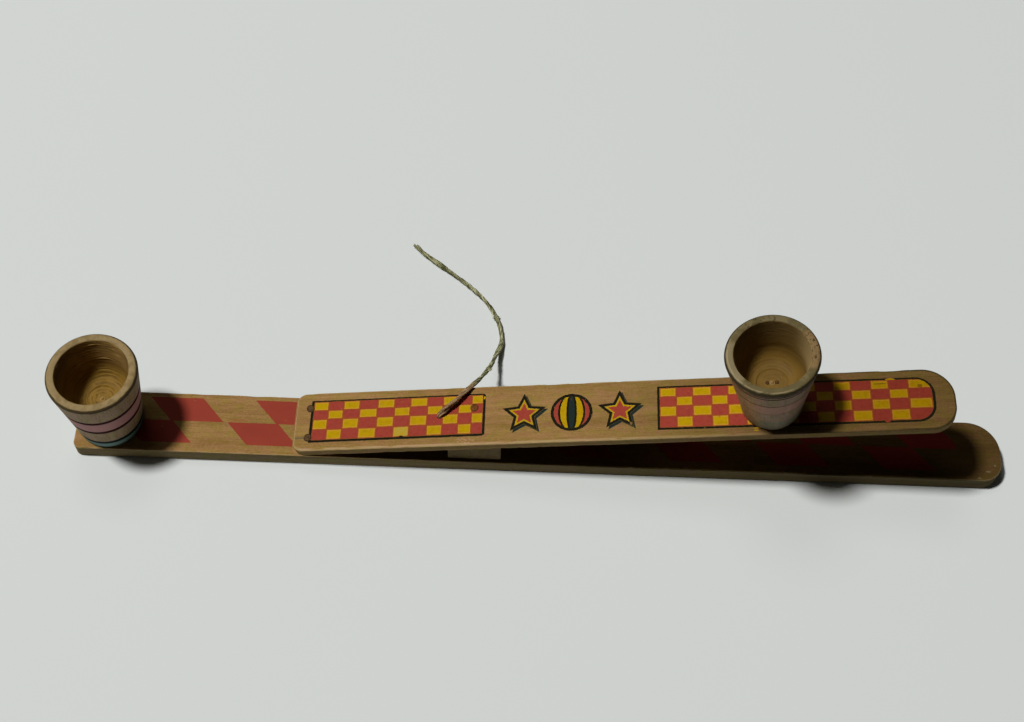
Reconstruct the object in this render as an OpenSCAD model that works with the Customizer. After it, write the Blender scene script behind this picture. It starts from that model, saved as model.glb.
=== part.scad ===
// Spring catapult toy: a turned cup launches a ball from a springy lath into a second cup.
// X runs along the boards, Y across them, Z up. The origin is the middle of the base's underside.

/* [Base board] */
// Length of the base board
base_len = 380; // [340:1:420]
// Width of the base board
base_w = 27; // [24:0.5:32]
// Thickness of the base board
base_t = 6.5; // [5:0.1:9]
// Corner radius at the square end of the base
base_corner_r = 3; // [1:0.5:5]
// Radius of the back corner at the round end of the base
base_back_r = 13; // [8:0.5:13]
// Radius of the front corner at the round end of the base
base_front_r = 9; // [6:0.5:10]

/* [Spring lath] */
// Length of the lath
lath_len = 263; // [230:1:280]
// Width of the lath
lath_w = 26.6; // [23:0.2:32]
// Thickness of the lath
lath_t = 3.7; // [3:0.1:5]
// Distance of the lath's nailed end from the base's square end
lath_start = 90.5; // [80:0.5:100]
// Slope of the lath at rest, in degrees
lath_tilt = 8.9; // [7:0.1:11]
// Depth of the flat planed under the nailed end, where it sits on the base
lath_seat = 0.35; // [0.1:0.05:1]
// Corner radius at the nailed end of the lath
lath_corner_r = 4; // [1:0.5:6]
// Radius of the back corner at the free end of the lath
lath_back_r = 12.5; // [8:0.5:12.5]
// Radius of the front corner at the free end of the lath
lath_front_r = 10; // [6:0.5:10]
// Distance along the lath from its nailed end to the line where it bends
flex_at = 111; // [100:1:125]
// Gap round the bending line
flex_gap = 0.06; // [0.02:0.01:0.1]

/* [Wedge block] */
// Distance of the block from the base's square end
block_start = 153; // [150:0.5:156]
// Length of the block
block_len = 21.5; // [18:0.5:25]
// Width of the block
block_w = 24; // [18:0.5:24]

/* [Cups] */
// Height of each cup
cup_h = 38.1; // [32:0.1:42]
// Radius of each cup at its rim
cup_rim_r = 18.3; // [16:0.1:20]
// Radius of the hollow at the mouth
cup_mouth_r = 14.5; // [12:0.1:14.8]
// How much narrower the hollow is at its shoulder than at the mouth
cup_draft = 1.8; // [0.5:0.1:2.5]
// Depth of the hollow in the middle
cup_depth = 21.5; // [17:0.1:25]
// Radius of the catch cup's foot
catch_foot_r = 13.4; // [12:0.1:15]
// Radius of the launch cup's foot
launch_foot_r = 12; // [10.5:0.1:14]
// Radius that rounds the outer edge of the rim
rim_round = 1.6; // [0.6:0.1:2]
// Distance of the catch cup's axis from the base's square end
catch_at = 13.5; // [12:0.1:20]
// Distance of the launch cup's axis along the lath
launch_at = 192.7; // [160:0.1:210]
// How far both cups stand behind the middle of their boards
cup_side = 0.5; // [0:0.1:1.5]
// Radius of the turned decoration grooves
groove_r = 0.45; // [0.3:0.05:0.6]
// Radius of the fine lines below the launch cup's rim
fine_groove_r = 0.3; // [0.2:0.05:0.4]
// Radius of the nib that turning leaves in the middle of each hollow
nib_r = 0.8; // [0.5:0.05:0.9]
// Height of the nib
nib_h = 0.8; // [0.4:0.1:1.2]

/* [Nails] */
// Shank radius of the nails
nail_r = 0.8; // [0.6:0.05:1]
// Head radius of the nails
nail_head_r = 1.75; // [1.4:0.05:2]
// Thickness of a nail head at its edge
nail_head_t = 0.45; // [0.3:0.05:0.6]
// How far a nail head is driven into the wood
nail_sink = 0.25; // [0.1:0.05:0.3]
// How far the heads of the nails driven up through the base lie above its underside
base_nail_recess = 0.15; // [0.05:0.05:0.4]
// Shank radius of the brads in the launch cup
brad_r = 0.5; // [0.4:0.05:0.6]
// Head radius of the brads in the launch cup
brad_head_r = 0.8; // [0.7:0.05:0.9]
// Distance between the two brads
brad_gap = 3.6; // [3:0.1:5]
// Length of the two nails at the lath's nailed end
end_nail_len = 8.5; // [7:0.5:9]
// Length of the nail that holds the lath on the block
block_nail_len = 11.5; // [9:0.5:13]
// Length of the nails driven up through the base
base_nail_len = 14; // [12:0.5:15]
// Distance of the end nails from the lath's nailed end
end_nail_at = 5.8; // [5:0.1:9]
// Distance of the back end nail from the lath's centreline
end_nail_back = 6.2; // [4:0.1:8]
// Distance of the front end nail from the lath's centreline
end_nail_front = 7.3; // [4:0.1:8]
// Distance of the block nail behind the lath's centreline
block_nail_side = 3.7; // [2:0.1:6]
// Distance between the nails in each pair driven up through the base
base_nail_gap = 11; // [8:0.5:14]

/* [String] */
// Diameter of the string
string_d = 2; // [1.6:0.1:2.4]
// Diameter of the string's hole in the lath
hole_d = 3.2; // [2.8:0.1:3.6]
// Distance of the hole along the lath
hole_at = 60; // [58:0.5:61]
// Diameter of the knot under the lath
knot_d = 4.8; // [4:0.2:5.2]

/* [Hidden] */
$fn = 96;
tiny = 0.01;
base_x = -base_len / 2;
lath_x = base_x + lath_start;
lath_z = base_t - lath_seat;
block_x = base_x + block_start;
catch_x = base_x + catch_at;
flex_z = lath_t / 2;
block_mid_x = block_x + block_len / 2;
block_nail_at = (block_mid_x - lath_x) / cos(lath_tilt);
catch_grooves = [5.2, 16.8, 25.6];
launch_grooves = [9.5, 17.3, 25.9];
launch_fine_grooves = [34, 35.8];
// How the side of each cup runs: 1 is a straight taper, less is fuller, more is slimmer
catch_swell = 1.05;
launch_swell = 1.15;
foot_round = 0.9;
mouth_bevel = 0.4;
floor_ring_r = 6.2;
floor_ring_h = 0.5;
bowl_flatness = 1.3;
brad_bite = 0.8 * lath_t;
nail_dome = nail_head_t / 3;
nail_top_z = nail_head_t - nail_sink + nail_dome;
hole_side = 0.4;
string_sides = 8;

// Middle line of the string, from the knot under the lath, over its back edge and along the table
string_route = [
    [-40.0, 0.5, 13.0],
    [-40.5, 0.5, 16.0],
    [-41.0, 0.5, 19.0],
    [-40.0, 1.0, 21.0],
    [-38.0, 2.5, 22.0],
    [-36.0, 4.5, 22.5],
    [-33.5, 7.0, 23.0],
    [-31.0, 10.0, 23.0],
    [-28.5, 13.0, 22.5],
    [-26.5, 16.0, 21.0],
    [-25.0, 19.5, 18.0],
    [-23.5, 23.5, 15.0],
    [-22.0, 28.0, 11.5],
    [-20.5, 33.0, 8.0],
    [-19.5, 38.0, 5.0],
    [-18.0, 43.0, 2.5],
    [-17.0, 47.5, 1.1],
    [-17.5, 52.0, 1.1],
    [-18.5, 56.5, 1.1],
    [-20.5, 61.0, 1.1],
    [-23.0, 65.5, 1.1],
    [-26.5, 70.0, 1.1],
    [-30.5, 74.0, 1.1],
    [-35.0, 78.0, 1.1],
    [-39.5, 81.5, 1.1],
    [-44.0, 85.0, 1.1],
    [-48.5, 88.5, 1.1],
    [-53.0, 92.0, 1.1],
    [-56.5, 95.5, 1.1]
];

// Puts its children in the lath's own frame: x along it, z = 0 at its underside
module on_lath() {
    translate([lath_x, 0, lath_z])
        rotate([0, -lath_tilt, 0])
            children();
}

// Plan of a board with two small corners on the left and two large ones on the right
module board_plan(length, width, corner_r, back_r, front_r) {
    half = width / 2;
    translate([corner_r, -half])
        square([length - corner_r - front_r, half]);
    translate([corner_r, 0])
        square([length - corner_r - back_r, half]);
    translate([0, -half + corner_r])
        square([length / 2, width - 2 * corner_r]);
    translate([length / 2, -half + front_r])
        square([length / 2, width - front_r - back_r]);
    for (side = [-1, 1])
        translate([corner_r, side * (half - corner_r)])
            circle(r = corner_r);
    translate([length - back_r, half - back_r])
        circle(r = back_r);
    translate([length - front_r, -half + front_r])
        circle(r = front_r);
}

// A nail pointing down, with z = 0 at the surface it is driven into
module nail(length, shank_r, head_r) {
    point = 2 * shank_r;
    edge_z = nail_top_z - nail_dome;
    rotate_extrude()
        polygon([
            [0, -length],
            [shank_r, -length + point],
            [shank_r, -nail_sink],
            [head_r, -nail_sink],
            [head_r, edge_z],
            [head_r / 2, edge_z + 0.8 * nail_dome],
            [0, nail_top_z]
        ]);
}

module end_nail_set() {
    on_lath() {
        translate([end_nail_at, end_nail_back, lath_t])
            nail(end_nail_len, nail_r, nail_head_r);
        translate([end_nail_at, -end_nail_front, lath_t])
            nail(end_nail_len, nail_r, nail_head_r);
    }
}

module block_nail_set() {
    on_lath()
        translate([block_nail_at, block_nail_side, lath_t])
            nail(block_nail_len, nail_r, nail_head_r);
}

// Puts its children upside down at the two places of a nail pair in the base, z = 0 where their heads stop
module at_base_nails(x, y) {
    for (side = [-1, 1])
        translate([x + side * base_nail_gap / 2, y, base_nail_recess])
            rotate([180, 0, 0])
                children();
}

// Two nails driven up through the base, with their heads just inside its underside
module base_nail_pair(x, y) {
    at_base_nails(x, y)
        translate([0, 0, -nail_top_z])
            nail(base_nail_len, nail_r, nail_head_r);
}

// The holes of such a pair, with the dents that the heads sit in
module base_nail_holes(x, y) {
    base_nail_pair(x, y);
    at_base_nails(x, y)
        translate([0, 0, -nail_top_z])
            cylinder(r = nail_head_r, h = nail_top_z + base_nail_recess + tiny);
}

module launch_brad_set() {
    on_lath()
        for (side = [-1, 1])
            translate([launch_at + side * brad_gap / 2, cup_side, lath_t + cup_h - cup_depth])
                nail(cup_h - cup_depth + brad_bite, brad_r, brad_head_r);
}

// Radius of a cup's outside at a height
function cup_side_r(foot_r, swell, z) = foot_r + (cup_rim_r - foot_r) * pow(z / cup_h, swell);

// Half section of a cup, outside first and then the hollow from the mouth down
module cup_section(foot_r, swell) {
    steps = 12;
    low = foot_round;
    high = cup_h - rim_round;
    shoulder_r = cup_mouth_r - cup_draft;
    floor_z = cup_h - cup_depth;
    bowl_r = shoulder_r - floor_ring_r;
    bowl_z = floor_z + bowl_flatness * bowl_r;
    rim_r = cup_side_r(foot_r, swell, high);
    outside = [for (i = [0:steps]) [
        cup_side_r(foot_r, swell, low + (high - low) * i / steps),
        low + (high - low) * i / steps
    ]];
    rim = [for (a = [30:30:90]) [
        rim_r - rim_round * (1 - cos(a)),
        high + rim_round * sin(a)
    ]];
    bowl = [for (a = [0:15:90]) [
        floor_ring_r + bowl_r * cos(a),
        bowl_z - (bowl_z - floor_z - floor_ring_h) * sin(a)
    ]];
    polygon(concat(
        [[0, 0], [foot_r - foot_round / 2, 0]],
        outside,
        rim,
        [[cup_mouth_r + mouth_bevel, cup_h], [cup_mouth_r, cup_h - mouth_bevel]],
        bowl,
        [[floor_ring_r - floor_ring_h, floor_z], [nib_r, floor_z]],
        [[nib_r / 2, floor_z + nib_h], [0, floor_z + nib_h]]
    ));
}

// A turned cup standing on z = 0, with its rings cut to the given radius
module cup(foot_r, swell, rings, fine_rings) {
    difference() {
        rotate_extrude()
            cup_section(foot_r, swell);
        for (z = rings)
            rotate_extrude()
                translate([cup_side_r(foot_r, swell, z), z])
                    circle(r = groove_r, $fn = 24);
        for (z = fine_rings)
            rotate_extrude()
                translate([cup_side_r(foot_r, swell, z), z])
                    circle(r = fine_groove_r, $fn = 24);
    }
}

// The whole lath as one strip, before it is parted at the bending line
module lath_strip() {
    linear_extrude(lath_t)
        board_plan(lath_len, lath_w, lath_corner_r, lath_back_r, lath_front_r);
}

module base_board() {
    color("peru")
        difference() {
            translate([base_x, 0, 0])
                linear_extrude(base_t)
                    board_plan(base_len, base_w, base_corner_r, base_back_r, base_front_r);
            end_nail_set();
            base_nail_holes(block_mid_x, 0);
            base_nail_holes(catch_x, cup_side);
        }
}

// Its top is cut to the lath's slope, so that the lath lies flat on it
module wedge_block() {
    left_h = (block_x - lath_x) * tan(lath_tilt) - lath_seat;
    right_h = left_h + block_len * tan(lath_tilt);
    color("burlywood")
        difference() {
            translate([block_x, block_w / 2, base_t])
                rotate([90, 0, 0])
                    linear_extrude(block_w)
                        polygon([[0, 0], [block_len, 0], [block_len, right_h], [0, left_h]]);
            block_nail_set();
            base_nail_pair(block_mid_x, 0);
        }
}

// Nailed part of the lath, up to the bending line, where it holds the arm's rounded end
module lath_root() {
    color("tan")
        difference() {
            on_lath()
                difference() {
                    intersection() {
                        lath_strip();
                        translate([-tiny, -lath_w, -tiny])
                            cube([flex_at + tiny, 2 * lath_w, lath_t + 2 * tiny]);
                    }
                    translate([flex_at, lath_w, flex_z])
                        rotate([90, 0, 0])
                            cylinder(r = lath_t / 2 + flex_gap, h = 2 * lath_w);
                    translate([hole_at, hole_side, -tiny])
                        cylinder(d = hole_d, h = lath_t + 2 * tiny);
                }
            translate([lath_x - lath_t, -lath_w, 0])
                cube([flex_at, 2 * lath_w, base_t]);
            end_nail_set();
            block_nail_set();
        }
}

// Free part of the lath, which carries the launch cup
module lath_arm() {
    color("tan")
        difference() {
            on_lath()
                intersection() {
                    lath_strip();
                    union() {
                        translate([flex_at, -lath_w, -tiny])
                            cube([lath_len, 2 * lath_w, lath_t + 2 * tiny]);
                        translate([flex_at, lath_w, flex_z])
                            rotate([90, 0, 0])
                                cylinder(r = lath_t / 2, h = 2 * lath_w);
                    }
                }
            launch_brad_set();
        }
}

module catch_cup() {
    color("rosybrown")
        difference() {
            translate([catch_x, cup_side, base_t])
                cup(catch_foot_r, catch_swell, catch_grooves, []);
            base_nail_pair(catch_x, cup_side);
        }
}

module launch_cup() {
    color("rosybrown")
        difference() {
            on_lath()
                translate([launch_at, cup_side, lath_t])
                    cup(launch_foot_r, launch_swell, launch_grooves, launch_fine_grooves);
            launch_brad_set();
        }
}

module lath_end_nails() {
    color("saddlebrown")
        end_nail_set();
}

module lath_block_nail() {
    color("saddlebrown")
        block_nail_set();
}

module block_base_nails() {
    color("dimgray")
        base_nail_pair(block_mid_x, 0);
}

module catch_cup_nails() {
    color("dimgray")
        base_nail_pair(catch_x, cup_side);
}

module launch_cup_brads() {
    color("dimgray")
        launch_brad_set();
}

// Unit vector along v
function unit(v) = v / norm(v);
// Direction of a route at its i-th point
function route_dir(p, i) = unit(p[min(i + 1, len(p) - 1)] - p[max(i - 1, 0)]);
// Two directions square to d, the first one level or nearly so
function side_dir(d) = unit(cross(d, abs(d.z) > 0.9 ? [1, 0, 0] : [0, 0, 1]));

// A tube of one polyhedron along the route's own points
module route_tube(p, r, sides) {
    last = len(p) - 1;
    rings = [for (i = [0:last])
        let (d = route_dir(p, i), u = side_dir(d), v = cross(u, d))
        for (k = [0:sides - 1])
            p[i] + r * (cos(360 * k / sides) * u + sin(360 * k / sides) * v)
    ];
    walls = [for (i = [0:last - 1], k = [0:sides - 1])
        let (a = i * sides + k, b = i * sides + (k + 1) % sides)
        [a, b, b + sides, a + sides]
    ];
    caps = [
        [for (k = [sides - 1:-1:0]) k],
        [for (k = [0:sides - 1]) last * sides + k]
    ];
    polyhedron(points = rings, faces = concat(walls, caps), convexity = 6);
}

module string() {
    color("darkkhaki")
        route_tube(string_route, string_d / 2, string_sides);
}

module string_knot() {
    color("darkkhaki")
        translate(string_route[0])
            sphere(d = knot_d, $fn = 48);
}

base_board();
wedge_block();
lath_root();
lath_arm();
catch_cup();
launch_cup();
lath_end_nails();
lath_block_nail();
block_base_nails();
catch_cup_nails();
launch_cup_brads();
string();
string_knot();
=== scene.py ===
# %% [markdown]
# # A spring catapult toy
# An old turned-wood toy. A springy lath is nailed at one end to a long base board and bent over a
# wedge block, so that its other end stands free. One cup waits on the base, and one rides on the lath.
# Press the lath down, let go, and a ball flies from cup to cup.
#
# The CAD model already has every piece at its real size. This script keeps those places and gives the
# pieces their looks. Everything is planned in millimetres in a piece's own frame, and moved into
# Blender's metres at the end.

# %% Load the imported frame
import math

import bmesh
import bpy
import numpy as np
from mathutils import Matrix, Vector, noise


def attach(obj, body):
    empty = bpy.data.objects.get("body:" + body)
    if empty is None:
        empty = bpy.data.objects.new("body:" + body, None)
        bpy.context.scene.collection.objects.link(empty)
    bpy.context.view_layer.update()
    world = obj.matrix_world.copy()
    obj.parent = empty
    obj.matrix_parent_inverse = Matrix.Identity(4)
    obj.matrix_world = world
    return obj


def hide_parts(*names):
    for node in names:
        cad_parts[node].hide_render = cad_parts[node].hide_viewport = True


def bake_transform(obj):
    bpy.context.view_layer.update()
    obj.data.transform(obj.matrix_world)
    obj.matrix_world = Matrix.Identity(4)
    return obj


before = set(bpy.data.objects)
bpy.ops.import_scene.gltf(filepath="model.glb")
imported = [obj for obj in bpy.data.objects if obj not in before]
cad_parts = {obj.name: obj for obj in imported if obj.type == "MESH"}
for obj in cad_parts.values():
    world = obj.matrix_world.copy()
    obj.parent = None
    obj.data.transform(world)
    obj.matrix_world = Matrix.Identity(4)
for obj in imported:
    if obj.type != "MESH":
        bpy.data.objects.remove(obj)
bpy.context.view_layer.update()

MM = 0.001
scene = bpy.context.scene
print("CAD nodes:", ", ".join(sorted(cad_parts)))

# %% [markdown]
# ## The camera
# The photograph looks down at the toy from the front at about 59 degrees, with the phone turned by
# two degrees. A phone's lens shows straight edges as straight, so a plain perspective camera fits.
# The place and the three small angles below came from matching the board edges and the cup rims.

# %% Camera
CAMERA_AT = (-0.011944, -0.290545, 0.557538)
LOOK_DOWN, TURN, ROLL = 59.42, 0.07, 2.07

camera = bpy.data.objects.new("camera", bpy.data.cameras.new("camera"))
camera.data.lens = 53.12
camera.data.sensor_width = 36
camera.data.clip_start = 0.01
camera.matrix_world = (
    Matrix.Translation(CAMERA_AT)
    @ Matrix.Rotation(math.radians(TURN), 4, "Z")
    @ Matrix.Rotation(math.radians(90 - LOOK_DOWN), 4, "X")
    @ Matrix.Rotation(math.radians(ROLL), 4, "Z")
)
scene.collection.objects.link(camera)
scene.camera = camera
print("camera looks along", [round(x, 4) for x in camera.matrix_world.to_3x3() @ Vector((0, 0, -1))])

# %% [markdown]
# ## Helpers for node trees
# Shader trees and geometry trees are both built from code here. One tree is open at a time. `add` puts
# a node into it, fills the node's sockets with numbers or links, and hands back the output that comes
# next in the chain. That output is a wire, and a sum or product of wires makes a math node by itself,
# so a tree reads from top to bottom like a recipe.

# %% Node helpers
here = None


def open_tree(tree):
    """From now on, new nodes go into this tree."""
    global here
    here = tree


class Wire:
    """What comes out of a node. Every + - * / % > and abs() makes one math node."""
    def __init__(self, socket):
        self.socket = socket

    def __abs__(self):
        return calc("ABSOLUTE", self)


for sign, operation in (("add", "ADD"), ("sub", "SUBTRACT"), ("mul", "MULTIPLY"), ("truediv", "DIVIDE"),
                        ("mod", "FLOORED_MODULO"), ("gt", "GREATER_THAN")):
    setattr(Wire, f"__{sign}__", lambda a, b, operation=operation: calc(operation, a, b))
    setattr(Wire, f"__r{sign}__", lambda a, b, operation=operation: calc(operation, b, a))


class Sockets:
    """A node's sockets by name or number. Reading one gives a wire, and setting one links or fills it."""
    def __init__(self, sockets):
        self.sockets = sockets

    def __getitem__(self, name):
        return Wire(self.sockets[name])

    def __setitem__(self, name, value):
        if isinstance(value, Wire):
            here.links.new(value.socket, self.sockets[name])
        else:
            self.sockets[name].default_value = value


def node(kind, values=None, **settings):
    """Adds a node to the open tree and returns its outputs. Values go to its inputs."""
    made = here.nodes.new(kind)
    for name, value in settings.items():
        setattr(made, name, value)
    inputs = Sockets(made.inputs)
    for name, value in (values or {}).items():
        inputs[name] = value
    return Sockets(made.outputs)


def add(kind, values=None, out=0, **settings):
    """Adds a node and returns one of its outputs."""
    return node(kind, values, **settings)[out]


def calc(operation, *values):
    """One arithmetic step on plain values."""
    return add("ShaderNodeMath", dict(enumerate(values)), operation=operation)


def move(operation, *values):
    """One arithmetic step on vectors."""
    return add("ShaderNodeVectorMath", dict(enumerate(values)), operation=operation)


def most(*values):
    """The greatest of the values. Of masks: 1 where at least one of them is."""
    result = values[0]
    for value in values[1:]:
        result = calc("MAXIMUM", result, value)
    return result


def least(a, b):
    return calc("MINIMUM", a, b)


def step(value, low, high):
    """0 at low, 1 at high, with a soft change between them. low may be the greater one."""
    values = {0: value, 1: low, 2: high, 3: 0.0, 4: 1.0}
    return add("ShaderNodeMapRange", values, interpolation_type="SMOOTHSTEP")


def tint(amount, under, over, how="MIX"):
    """Lays one colour over another by an amount."""
    return add("ShaderNodeMix", {0: amount, 6: under, 7: over}, out=2, data_type="RGBA", blend_type=how)


def coats(colour, *layers):
    """Lays several colours over one. Each layer is its amount and its colour."""
    for amount, over in layers:
        colour = tint(amount, colour, over)
    return colour


def vector(x, y, z=0.0):
    return add("ShaderNodeCombineXYZ", {0: x, 1: y, 2: z})


def xyz(place):
    """The three numbers of a vector."""
    parts = node("ShaderNodeSeparateXYZ", {0: place})
    return parts[0], parts[1], parts[2]


def size_of(offset):
    return add("ShaderNodeVectorMath", {0: offset}, out=1, operation="LENGTH")


def from_axis(x, y):
    return calc("SQRT", x * x + y * y)


def cloud(place, size, detail=2.0, seed=0.0, out=0):
    """Noise from 0 to 1 whose blotches are about size = (x, y, z) millimetres."""
    scaled = move("MULTIPLY", place, [1 / s for s in size])
    values = {"Vector": scaled, "W": seed, "Scale": 1.0, "Detail": detail}
    return add("ShaderNodeTexNoise", values, out=out, noise_dimensions="4D")


def paint(red, green, blue):
    """A colour as seen on a screen, 0 to 255, turned into the light values that Blender mixes."""
    def linear(c):
        c /= 255
        return c / 12.92 if c <= 0.04045 else ((c + 0.055) / 1.055) ** 2.4
    return (linear(red), linear(green), linear(blue), 1.0)


def new_group(name, kind, inputs, outputs):
    """An empty node group, now the open tree. An input is given by its usual value or its kind."""
    group = bpy.data.node_groups.new(name, kind)
    open_tree(group)
    kinds = {float: "Float", int: "Int", tuple: "Color"}
    for label, value in inputs.items():
        socket_type = "NodeSocket" + kinds.get(type(value), value if isinstance(value, str) else "")
        made = group.interface.new_socket(label, in_out="INPUT", socket_type=socket_type)
        if not isinstance(value, str):
            made.default_value = value
    for label, socket in outputs.items():
        group.interface.new_socket(label, in_out="OUTPUT", socket_type="NodeSocket" + socket)
    ends = group.nodes.new("NodeGroupInput").outputs, group.nodes.new("NodeGroupOutput").inputs
    return group, Sockets(ends[0]), Sockets(ends[1])


def use(group, **values):
    """Places a shader group in the open tree and returns its outputs by name."""
    values = {name.replace("_", " "): value for name, value in values.items()}
    return node("ShaderNodeGroup", values, node_tree=group)


def count_nodes(name):
    print(name + ":", len(here.nodes), "nodes")


print("node helpers are ready")

# %% [markdown]
# ## Old wood, one group for every wooden piece
# Both boards, the block and the cups are the same plain close-grained wood, so one shader group
# paints them all. Wood is noise pulled long in the direction of the grain: wide slow bands for the
# growth rings, thin fibres over them, and the short dark dashes that beech shows. Since the noise is
# solid, a sawn end shows end grain without any extra work. The group gives colours and a height, and
# each material decides how shiny it is.

# %% Aged wood group
AGED_WOOD, enter, leave = new_group(
    "aged wood", "ShaderNodeTree",
    {"Place": "Vector", "Pale": (0.3, 0.2, 0.1, 1), "Dark": (0.1, 0.06, 0.03, 1),
     "Dashes": 0.5, "Grime": 0.5},
    {"Color": "Color", "Height": "Float", "Blotch": "Float"},
)
place = enter["Place"]
bands = cloud(place, (85, 2.6, 2.6), 2, 1.0)
fibres = cloud(place, (6, 0.42, 0.42), 3, 2.0)
dash_noise = cloud(place, (2.0, 0.34, 0.34), 1, 3.0)
blotch = cloud(place, (16, 9, 9), 4, 4.0)
speckle = cloud(place, (0.8, 0.45, 0.45), 2, 6.0)
hue = cloud(place, (5, 2.5, 2.5), 3, 7.0)
dashes = step(dash_noise, 0.60, 0.72) * enter["Dashes"]
shade = bands * 0.34 + fibres * 0.33 + speckle * 0.33
warmth = tint(step(hue, 0.38, 0.62), (0.94, 1.0, 0.82, 1), (1.06, 0.98, 1.16, 1))
wood = tint(step(shade, 0.34, 0.66), enter["Pale"], enter["Dark"])
wood = tint(1.0, wood, warmth, "MULTIPLY")
wood = tint(dashes, wood, enter["Dark"], "MULTIPLY")
dirt = step(blotch, 0.48, 0.72) * enter["Grime"]
leave["Color"] = tint(dirt, wood, enter["Dark"])
leave["Height"] = fibres - dashes
leave["Blotch"] = blotch
count_nodes("aged wood")

# %% [markdown]
# ## Rubbed edges
# Years of hands rub the varnish and the paint off every sharp edge, and bare wood shows there. Each
# board keeps, in every point of its mesh, how far the point is from the nearest edge. The group turns
# that distance into a ragged mask.

# %% Rubbed edge group
RUBBED_EDGE, enter, leave = new_group(
    "rubbed edge", "ShaderNodeTree", {"Distance": 9.0, "Place": "Vector", "Reach": 0.6}, {"Mask": "Float"})
limit = cloud(enter["Place"], (3.5, 1.2, 1.2), 3, 5.0) * 2.0 * enter["Reach"]
leave["Mask"] = step(enter["Distance"] - limit, 0.1, -0.35)
count_nodes("rubbed edge")

# %% [markdown]
# ## A box with round corners
# Printed borders are rectangles whose corners may be round. The signed distance to such a box is
# below zero inside it, zero on its line and above zero outside, so one number gives both the line and
# the field within it.

# %% Round box group
ROUND_BOX, enter, leave = new_group(
    "round box", "ShaderNodeTree",
    {"Along": 0.0, "Across": 0.0, "Left": 0.0, "Right": 10.0, "Front": -5.0, "Back": 5.0, "Left Round": 0.3,
     "Right Round": 0.3},
    {"Distance": "Float"},
)


def centred(value, low, high):
    """Distance from the middle of a span, and half the span."""
    return value - (low + high) * 0.5, (high - low) * 0.5


dx, half_x = centred(enter["Along"], enter["Left"], enter["Right"])
dy, half_y = centred(enter["Across"], enter["Front"], enter["Back"])
corner = enter["Left Round"] + (dx > 0.0) * (enter["Right Round"] - enter["Left Round"])
qx = abs(dx) - half_x + corner
qy = abs(dy) - half_y + corner
outer = size_of(vector(most(qx, 0.0), most(qy, 0.0)))
leave["Distance"] = outer + least(most(qx, qy), 0.0) - corner
count_nodes("round box")

# %% [markdown]
# ## The printed checks
# The lath carries two panels of red and yellow checks in a black-green line. The printer laid the
# yellow first and the red over it. The two never met exactly, so a thin orange line runs along every
# join. The group counts columns and rows, and odd and even cells get their colours.

# %% Printed checks group
CHECKS, enter, leave = new_group(
    "printed checks", "ShaderNodeTree",
    {"Column": 0.0, "Row": 0.0, "Column Width": 7.0, "Row Height": 4.6, "Inside": 0.0},
    {"Yellow": "Float", "Red": "Float", "Join": "Float", "Halo": "Float"},
)


def to_line(count, size):
    """How far a point is from the nearest cell line, in millimetres."""
    part = calc("FRACT", count)
    return least(part, 1.0 - part) * size


inside = enter["Inside"]
odd = (calc("FLOOR", enter["Column"]) + calc("FLOOR", enter["Row"])) % 2.0 > 0.5
even = 1.0 - odd
nearest = least(to_line(enter["Column"], enter["Column Width"]), to_line(enter["Row"], enter["Row Height"]))
join_width = even * 0.2 + 0.14
leave["Yellow"] = inside * even
leave["Red"] = inside * odd
leave["Join"] = inside * step(nearest - join_width, 0.1, -0.08)
leave["Halo"] = inside * even * step(nearest, 1.0, 0.5)
count_nodes("printed checks")

# %% [markdown]
# ## A star and a ball
# Between the two panels stand three plain motifs in the colours of the checks: a star, a striped ball
# and another star. A star is one slanted line seen ten times: the angle is folded until every spike
# lies on the first one, and then the distance to that one line is enough.

# %% Star group
STAR, enter, leave = new_group(
    "star", "ShaderNodeTree",
    {"Along": 0.0, "Across": 0.0, "Spike": 8.0, "Notch": 3.6}, {"Distance": "Float"})
FOLD = math.tau / 5
along, across, spike, notch = (enter[name] for name in ("Along", "Across", "Spike", "Notch"))
angle = calc("ARCTAN2", along, across) + FOLD / 2
folded = abs(angle % FOLD - FOLD / 2)
radius = size_of(vector(along, across))
ex = notch * math.cos(FOLD / 2) - spike
ey = notch * math.sin(FOLD / 2)
cross = (radius * calc("COSINE", folded) - spike) * ey - radius * calc("SINE", folded) * ex
leave["Distance"] = cross / size_of(vector(ex, ey))
count_nodes("star")

# %% [markdown]
# ## Boards
# Base and lath have the same kind of outline: two small corners on the left and two large, slightly
# unlike ones on the right. A plain extrusion would have knife edges, which catch no light. So the
# board is built from rings. Each ring follows the outline, set in a little, and the set-in changes
# slowly along the board, as real rubbed edges do.

# %% Board sizes, the same as in the CAD model
BASE = dict(length=380, width=27, corner=3, back=13, front=9)
BASE_THICK = 6.5
BASE_LEFT = -190
LATH = dict(length=263, width=26.6, corner=4, back=12.5, front=10)
LATH_THICK = 3.7
LATH_AT = (-99.5, 0, 6.15)
TILT = 8.9
ARC_STEPS, EDGE_STEP = 9, 1.6
FADE = 2.6

base_place = Matrix.Translation((BASE_LEFT, 0, 0))
lath_place = Matrix.Translation(LATH_AT) @ Matrix.Rotation(math.radians(-TILT), 4, "Y")


def edge_points(sign, right, length, width, corner, back, front):
    """Points and outward directions along one long edge of a board, from its left end to its right."""
    half = width / 2
    rows = []
    for turn in np.radians(np.linspace(0, 90, ARC_STEPS)):
        out = (-math.cos(turn), sign * math.sin(turn))
        rows.append((corner + corner * out[0], sign * (half - corner) + corner * out[1], *out))
    last = length - max(back, front)
    for x in np.linspace(corner, last, round((last - corner) / EDGE_STEP))[1:-1]:
        rows.append((x, sign * half, 0, sign))
    for turn in np.radians(np.linspace(0, 90, ARC_STEPS * 2)):
        out = (math.sin(turn), sign * math.cos(turn))
        rows.append((length - right + right * out[0], sign * (half - right) + right * out[1], *out))
    return np.array(rows)


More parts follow.
